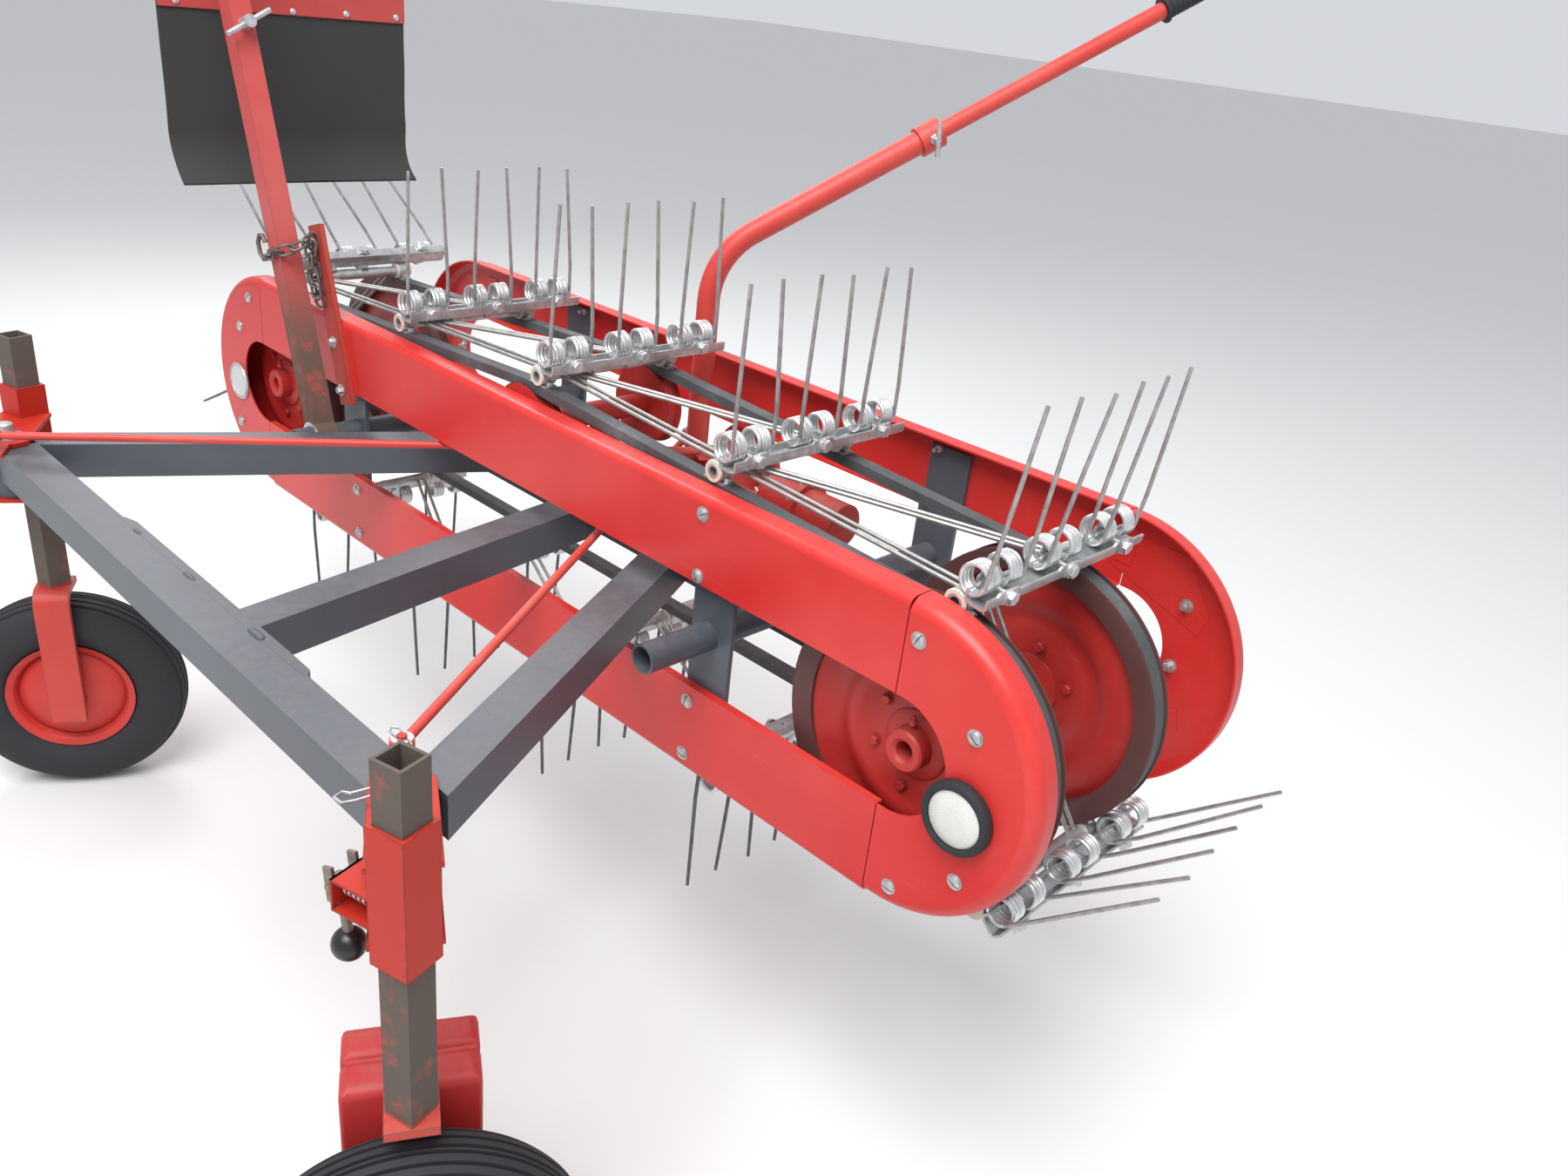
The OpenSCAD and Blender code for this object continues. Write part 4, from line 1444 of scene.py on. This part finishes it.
@dataclass
class Castor:
    """One steered castor: bracket, sliding stem and wheel."""

    side: Side
    pivot: tuple[float, float] = (0.629, -1.151)
    trail: float = 0.128
    wheel_out: float = 0.024
    steer: float = math.radians(-30.0)
    hub_z: float = -0.525
    tyre_r: float = 0.203
    tyre_w: float = 0.104
    fork_x: float = 0.050
    weight_z: tuple[float, float] = (-0.483, -0.303)
    weight_half: float = 0.080
    weight_thick: float = 0.051
    weight_pitch: float = 0.053
    weight_round: float = 0.006
    latch_z: tuple[float, float] = (-0.025, 0.015)
    latch_deep: float = 0.052
    latch_sheet: float = 0.003
    knob_r: float = 0.019

    def spot(self, x: float, y: float, z: float) -> Vector:
        """A point from the castor's own axes, X from the stem to the pivot side."""
        s = self.side.value
        turn = Matrix.Rotation(self.steer, 3, "Z")
        base = Vector((s * self.pivot[0], self.pivot[1], 0.0))
        return base + turn @ Vector((-s * x, y, z))

    @property
    def across(self) -> Vector:
        """Wheel's axis, from the wheel to the fork's arm."""
        return (self.spot(1.0, 0.0, 0.0) - self.spot(0.0, 0.0, 0.0)).normalized()

    def build(self) -> None:
        """Builds and dresses the castor."""
        name = self.side.name.lower()
        dress(SLEEVE_RED, [f"{name}_castor_bracket"])
        dress(STEM_RED, [f"{name}_castor_stem"])
        if self.side is Side.RIGHT:
            self._weights()
        self._latch(name)
        self._pins(name)
        self._tyre(name)
        self._disc(name)

    def _weights(self) -> None:
        """Two weight blocks with rounded upper edges."""
        shape = Shape()
        (low, top), half, thick, r = self.weight_z, self.weight_half, self.weight_thick, self.weight_round
        rows = [
            (low, 0.003), (low + 0.003, 0.0), (top - 0.014, 0.0), (top - 0.006, 0.002),
            (top - 0.0015, 0.007), (top, 0.013)
        ]
        for x in (self.fork_x - self.trail, self.fork_x - self.trail + self.weight_pitch):
            rings = []
            for z, q in rows:
                corners = [
                    (x + q, -half + q), (x + thick - q, -half + q), (x + thick - q, half - q),
                    (x + q, half - q)
                ]
                ring_points = []
                for k, (a, b) in enumerate(corners):
                    start = math.radians(180.0 + 90.0 * k)
                    for t in (0.0, 0.52, 1.05, 1.57):
                        dx = r * (math.cos(start + t) - math.cos(start + 0.785) * 1.414)
                        dy = r * (math.sin(start + t) - math.sin(start + 0.785) * 1.414)
                        ring_points.append(self.spot(a + dx, b + dy, z))
                rings.append(ring_points)
            shape.loft(rings)
        mid = self.fork_x - self.trail + 0.049
        plate = ((0, -0.076), (0.006, -0.076), (0.006, 0.076), (0, 0.076))
        shape.loft([[self.spot(mid + a, b, z) for a, b in plate] for z in (low + 0.004, top - 0.006)])
        settle(shape, "right_weights", WEIGHT_RED, "right_stem", ["right_castor_weights"])

    def out(self, n: float, t: float, z: float) -> Vector:
        """A point from the sleeve's rear outer face: n away from it, t along it."""
        q = math.sqrt(0.5)
        return self.spot(-self.trail + q * (n + 0.0255) + q * t, -q * (n + 0.0255) + q * t, z)

    def _latch(self, name: str) -> None:
        """Spring latch of the height setting, in its box beside the sleeve.

        Args:
            name: left or right.
        """
        body = f"{name}_castor"
        box, zinc, spring, knob = Shape(), Shape(), Shape(), Shape()
        (low, top), deep, sheet = self.latch_z, self.latch_deep, self.latch_sheet
        walls = (
            ((0.0, low), (deep, low + sheet)), ((0.0, top - sheet), (deep, top)),
            ((deep - sheet, low), (deep, top))
        )
        for (n0, z0), (n1, z1) in walls:
            corners = ((n0, -0.025), (n1, -0.025), (n1, 0.028), (n0, 0.028))
            box.loft([[self.out(n, t, z) for n, t in corners] for z in (z0, z1)])
        for t in (-0.019, 0.013):
            ear = [
                (deep - 0.004, low + 0.002),
                (deep + 0.012, low + 0.002),
                (deep + 0.016, top + 0.004),
                (deep + 0.004, top + 0.007),
            ]
            zinc.loft([[self.out(n, t + d, z) for n, z in ear] for d in (0.0, 0.004)])
        zinc.tube(
            [self.out(deep + 0.009, -0.021, -0.004), self.out(deep + 0.009, 0.019, -0.004)], 0.004, 12
        )
        foot = self.out(deep - 0.004, -0.008, -0.064)
        zinc.tube(
            [self.out(deep + 0.010, -0.003, 0.004), self.out(deep + 0.008, -0.004, -0.020), foot], 0.0055,
            16
        )
        zinc.tube([self.out(-0.004, -0.004, -0.004), self.out(deep + 0.010, -0.004, -0.004)], 0.004, 12)
        way = (self.out(1.0, 0.0, 0.0) - self.out(0.0, 0.0, 0.0)).normalized()
        spring.tube(helix(self.out(0.001, -0.004, -0.004), way, UP, 0.0085, 0.0066, 7.0, 14), 0.0014, 8)
        turns = [math.pi * k / 12.0 for k in range(13)]
        ball = [(self.knob_r * math.sin(a), -self.knob_r * math.cos(a)) for a in turns]
        knob.lathe(ball, foot + Vector((0.0, 0.0, -0.015)), UP, 32)
        settle(box, f"{name}_latch_box", SLEEVE_RED, body)
        settle(zinc, f"{name}_latch_lever", WORN_STEEL, body)
        settle(spring, f"{name}_latch_spring", SPRING, body)
        settle(knob, f"{name}_latch_knob", KNOB, body)

    def _pins(self, name: str) -> None:
        """Washer, pin and clip of the pivot, washer and clip of the rod's pin.

        Args:
            name: left or right.
        """
        shape = Shape()
        shape.disc(self.spot(0.0, 0.0, 0.0540), UP, 0.026, 0.003, steps=36)
        shape.lathe(
            [(0.0, 0.0), (0.0122, 0.0), (0.0122, 0.020), (0.0105, 0.022), (0.0, 0.022)],
            self.spot(0.0, 0.0, 0.0565), UP, 28
        )
        legs = [(3, 9), (-18, -52), (-14, -60), (-23, -68), (-34, -60), (-31, -46), (-14, -4)]
        shape.tube([self.spot(a / 1000.0, b / 1000.0, 0.066) for a, b in legs], 0.0016, 8)
        link, top = 0.071, (0.082 if self.side is Side.LEFT else 0.0645) + 0.0072
        shape.disc(self.spot(link, 0.0, top), UP, 0.0125, 0.0018)
        pin = self.spot(link, 0.0, top + 0.0031)
        loop = [
            (0.022, 0.0), (0.004, 0.004), (-0.016, 0.006), (-0.022, 0.0), (-0.016, -0.006), (0.004, -0.004)
        ]
        shape.tube([pin + Vector((a, b, 0.0)) for a, b in loop], 0.0012, 8)
        settle(shape, f"{name}_castor_pins", ZINC, f"{name}_castor")

    def _tyre(self, name: str) -> None:
        """Rib-treaded tyre.

        Args:
            name: left or right.
        """
        shape = Shape()
        half = self.tyre_w / 2.0
        r = self.tyre_r
        side = [(0.113, 0.034), (0.116, 0.0385), (0.122, 0.0420), (0.131, 0.0478), (0.142, 0.0512),
                (0.152, 0.0520),
                (0.164, 0.0512), (0.174, 0.0490), (0.182, 0.0455), (0.1885, 0.0405), (0.193, 0.0350)]
        tread = [(0.1945, 0.0330), (0.1915, 0.0320), (0.1915, 0.0290), (0.1980, 0.0280),
                 (0.2005, 0.0200), (0.1965, 0.0190),
                 (0.1965, 0.0160), (0.2015, 0.0150), (0.2030, 0.0065), (0.1985, 0.0055),
                 (0.1985, 0.0025), (0.2030, 0.0015)]
        scale = half / 0.052
        right = [(q * r / 0.203, h * scale) for q, h in side + tread]
        profile = [(0.1045, 0.0335)] + right + [(q, -h) for q, h in reversed(right)] + [(0.1045, -0.0335)]
        shape.lathe(
            profile, self.spot(-self.trail - self.wheel_out, 0.0, self.hub_z), self.across, 120, closed=True
        )
        settle(shape, f"{name}_tyre", TYRE_RUBBER, f"{name}_wheel", [f"{name}_wheel_tyre"])

    def _disc(self, name: str) -> None:
        """Domed wheel disc with its bead seats, hub and axle nut.

        Args:
            name: left or right.
        """
        shape = Shape()
        centre = self.spot(-self.trail - self.wheel_out, 0.0, self.hub_z)
        outer = [(0.0125, 0.046), (0.030, 0.046), (0.034, 0.043), (0.052, 0.0405), (0.074, 0.0345),
                 (0.088, 0.027),
                 (0.094, 0.0215), (0.097, 0.0225), (0.1005, 0.030), (0.1035, 0.0335), (0.110, 0.0355),
                 (0.1135, 0.0385),
                 (0.1135, 0.0405), (0.1095, 0.0385), (0.102, 0.0365), (0.099, 0.034)]
        inner = [
            (0.096, 0.024), (0.092, 0.019), (0.086, 0.023), (0.072, 0.031), (0.050, 0.037), (0.030, 0.040),
            (0.0125, 0.040)
        ]
        shape.lathe(outer + inner, centre, self.across, 72, closed=True)
        back = [(0.0125, -0.040), (0.030, -0.040), (0.030, -0.012), (0.098, -0.024), (0.100, -0.034),
                (0.1035, -0.0335),
                (0.110, -0.0355), (0.1135, -0.0385), (0.1135, -0.0405), (0.1095, -0.0385),
                (0.0985, -0.0365),
                (0.0960, -0.022), (0.028, -0.008), (0.028, 0.030), (0.0125, 0.030)]
        shape.lathe(back, centre, self.across, 72, closed=True)
        settle(shape, f"{name}_wheel_disc", FRAME_RED, f"{name}_wheel", [f"{name}_wheel_rim"])


@dataclass
class Steering:
    """Long lever, its grip and the two crossing rods."""

    post_y: float = 445.0
    steer: float = math.radians(-30.0)
    rise: float = math.radians(31.0)
    bend: float = 150.0
    post_h: float = 345.0

    def up(self, h: float, side: float = 0.0, over: float = 0.0) -> Vector:
        """A point from the lever's sloping tube, in millimetres.

        Args:
            h: distance along the tube from its bend.
            side: distance to the right of it.
            over: distance above it.

        Returns:
            The point in the row frame.
        """
        c, s = math.cos(self.rise), math.sin(self.rise)
        y = self.bend * (1.0 - s) + h * c - over * s
        z = self.post_h + self.bend * c + h * s + over * c
        turn = Matrix.Rotation(self.steer, 3, "Z")
        return ring(0.0, self.post_y, 0.0) + turn @ Vector((side / 1000.0, y / 1000.0, z / 1000.0))

    def build(self) -> None:
        """Dresses the linkage and builds the grip and the small parts."""
        dress(LEVER_RED, ["steering_lever", "left_steering_rod", "right_steering_rod"])
        way = (self.up(1.0) - self.up(0.0)).normalized()
        grip = Shape()
        profile = [(0.0155, 0.0), (0.0235, 0.0005), (0.0240, 0.004), (0.0190, 0.0065)]
        for k in range(11):
            h = 0.012 + 0.0098 * k
            profile += [(0.0178, h), (0.0192, h + 0.0016), (0.0192, h + 0.0062), (0.0178, h + 0.0078)]
        profile += [(0.0185, 0.1205), (0.0175, 0.1240), (0.0120, 0.1255), (0.0, 0.1258)]
        grip.lathe(profile, self.up(850.0), way, 40)
        settle(grip, "grip", BLACK_RUBBER, "steering_lever", ["lever_grip"])
        small = Shape()
        side = (self.up(0.0, 1.0) - self.up(0.0)).normalized()
        small.tube([self.up(362.0, 24.0), self.up(362.0, 47.0)], 0.0058, 14)
        small.hexagon(self.up(362.0, 26.5), side, 0.017, 0.008, 12.0)
        small.tube([self.up(350.0, 44.0, -26.0), self.up(376.0, 44.0, 26.0)], 0.0045, 12)
        for link, z in ((0.071, 0.082), (-0.071, 0.0645)):
            pin = ring(0.0, self.post_y, 0.0) + Matrix.Rotation(self.steer, 3, "Z") @ Vector(
                (link, 0.0, z + 0.0072)
            )
            small.disc(pin, UP, 0.0125, 0.0018)
            small.tube(
                [pin + Vector((-0.012, 0.004, 0.0032)), pin + Vector((0.012, -0.004, 0.0032))], 0.0013, 8
            )
        settle(small, "lever_fixings", ZINC, "steering_lever")


@dataclass
class Curtain:
    """Folding arm with the hanging swath cloth and its chain."""

    face_x: float = -850.4
    top_z: float = 764.35
    bend_z: float = 514.35
    bend_r: float = 120.0
    bend_turn: float = math.radians(50.0)
    thick: float = 4.4
    edges: tuple[float, float] = (-150.0, 335.0)
    hook_r: float = 0.0042
    wrap_stops: Places = (
        (-632, -72, 322), (-618, -84, 330), (-598, -86, 338), (-579, -82, 345), (-566, -64, 352),
        (-566, -42, 360), (-578, -16, 366)
    )
    hook_path: Places = (
        (-628, -78, 322), (-640, -84, 318), (-650, -86, 328), (-655, -86, 346), (-650, -85, 360),
        (-640, -84, 362), (-634, -82, 350)
    )
    long_end: Places = (
        (-582, -14, 372), (-580, -17, 346), (-576, -18, 320), (-570, -19, 294), (-564, -18, 268),
        (-560, -17, 246)
    )
    short_end: Places = (
        (-572, -24, 362), (-571, -28, 336), (-567, -29, 310), (-560, -28, 284), (-556, -26, 262)
    )

    def build(self) -> None:
        """Dresses the arm and builds the cloth, its rivets and the chain."""
        dress(ARM_WORN, ["curtain_arm"])
        dress(ARM_RED, ["curtain_bar"])
        dress(ZINC, ["curtain_clamp"])
        rivets = Shape()
        for y in (-118.0, -10.0, 99.0, 208.0, 316.0):
            rivets.disc(ring(-842.4, y, 733.0 + 2.0 * math.sin(y)), RIGHT, 0.0062, 0.0008, 0.0030)
            rivets.disc(ring(-850.0, y, 733.0), -RIGHT, 0.0075, 0.0012, 0.0010)
        settle(rivets, "curtain_rivets", BRIGHT, "curtain")
        cloth = self._cloth()
        self._chain()
        self._hub()

    def _profile(self, s: float, outer: bool) -> tuple[float, float]:
        """X and Z of the cloth at a distance down from its top edge.

        Args:
            s: the distance.
            outer: whether on its left face.

        Returns:
            The place on the hoods' axes, in millimetres.
        """
        straight = self.top_z - self.bend_z
        if s <= straight:
            return self.face_x + (0.0 if outer else self.thick), self.top_z - s
        a = math.pi + (s - straight) / self.bend_r
        r = self.bend_r - (0.0 if outer else self.thick)
        return self.face_x + self.bend_r + r * math.cos(a), self.bend_z + r * math.sin(a)

    def _cloth(self) -> bpy.types.Object:
        """The hanging cloth, a little wavy towards its foot."""
        shape = Shape()
        total = self.top_z - self.bend_z + self.bend_r * self.bend_turn
        low, high = self.edges
        rows = []
        across = 36
        for i in range(34):
            s = total * i / 33.0
            slack = (s / total) ** 1.6
            row = []
            for outer in (True, False):
                for j in (range(across + 1) if outer else range(across, -1, -1)):
                    q = j / across
                    x, z = self._profile(s, outer)
                    wave = slack * (
                        2.4 * math.sin(7.1 * q + 0.6) + 1.2 * math.sin(17.0 * q + 0.02 * s) - 3.6
                    )
                    edge = slack * 5.0 * (
                        q * math.sin(0.026 * s) - (1.0 - q) * math.sin(0.021 * s + 1.0) * 0.5
                    )
                    pull = abs(edge) * (1.0 if q > 0.5 else -1.0) * abs(2.0 * q - 1.0)
                    row.append(ring(x + wave, low + (high - low) * q - pull, z))
            rows.append(row)
        shape.loft(rows)
        return settle(
            shape, "curtain_cloth", CURTAIN_CLOTH, "curtain", ["curtain_flap"], 50.0
        )

    @staticmethod
    def _link(
        shape: Shape,
        a: Vector,
        b: Vector,
        hint: Vector,
        wire: float = 0.0027,
        half: float = 0.0085,
    ) -> None:
        """One oval chain link.

        Args:
            shape: where it is drawn.
            a: inner end of its upper bow.
            b: inner end of its lower bow.
            hint: roughly the way across it.
            wire: radius of its wire.
            half: half its inner width.
        """
        way = (b - a).normalized()
        across = (hint - way * hint.dot(way)).normalized()
        path = []
        for centre, sign in ((b - way * half, 1.0), (a + way * half, -1.0)):
            for k in range(7):
                t = math.pi * k / 6.0
                path.append(
                    centre + across * (sign * half * math.cos(t)) + way * (sign * half * math.sin(t))
                )
        shape.tube(path, wire, 8, around=True)

    def _chain(self) -> None:
        """Chain round the arm with its hook, and its slack end on the hook bar."""
        wrap, slack = Shape(), Shape()
        self._row(wrap, self.wrap_stops)
        wrap.tube([ring(*p) for p in self.hook_path], self.hook_r, 10)
        settle(wrap, "curtain_chain_wrap", CHAIN_STEEL, "curtain_arm")
        self._row(slack, self.long_end)
        self._row(slack, self.short_end)
        settle(slack, "curtain_chain_slack", CHAIN_STEEL, "rake_frame")

    def _row(self, shape: Shape, stops: Sequence[tuple[float, float, float]]) -> None:
        """Links along a row of stops, each turned across the one before.

        Args:
            shape: where they are drawn.
            stops: their ends on the hoods' axes, in millimetres.
        """
        points = [ring(*p) for p in stops]
        for k, (a, b) in enumerate(zip(points, points[1:])):
            way = (b - a).normalized() * 0.0035
            self._link(shape, a - way, b + way, UP if k % 2 else Vector((0.6, 0.8, 0.0)))

    @staticmethod
    def _hub() -> None:
        """Washer and clip in front of the arm's hub."""
        shape = Shape()
        shape.lathe(
            [(0.0235, 0.0), (0.031, 0.0), (0.031, 0.0025), (0.0235, 0.0025)], ring(-504, -78.2, 10), FRONT,
            36, closed=True
        )
        settle(shape, "curtain_hub_washer", ZINC, "curtain_arm")


def main() -> None:
    """Builds the scene."""
    logging.basicConfig(level=logging.INFO, format="%(message)s")
    Photographer().build()
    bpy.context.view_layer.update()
    Studio().build()
    TineBelts().build()
    EndPulleys(Side.LEFT).build()
    EndPulleys(Side.RIGHT).build()
    Drive().build()
    Hoods().build()
    Frames().build()
    Castor(Side.LEFT).build()
    Castor(Side.RIGHT).build()
    Steering().build()
    Curtain().build()


if __name__ == "__main__":
    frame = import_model()
    main()
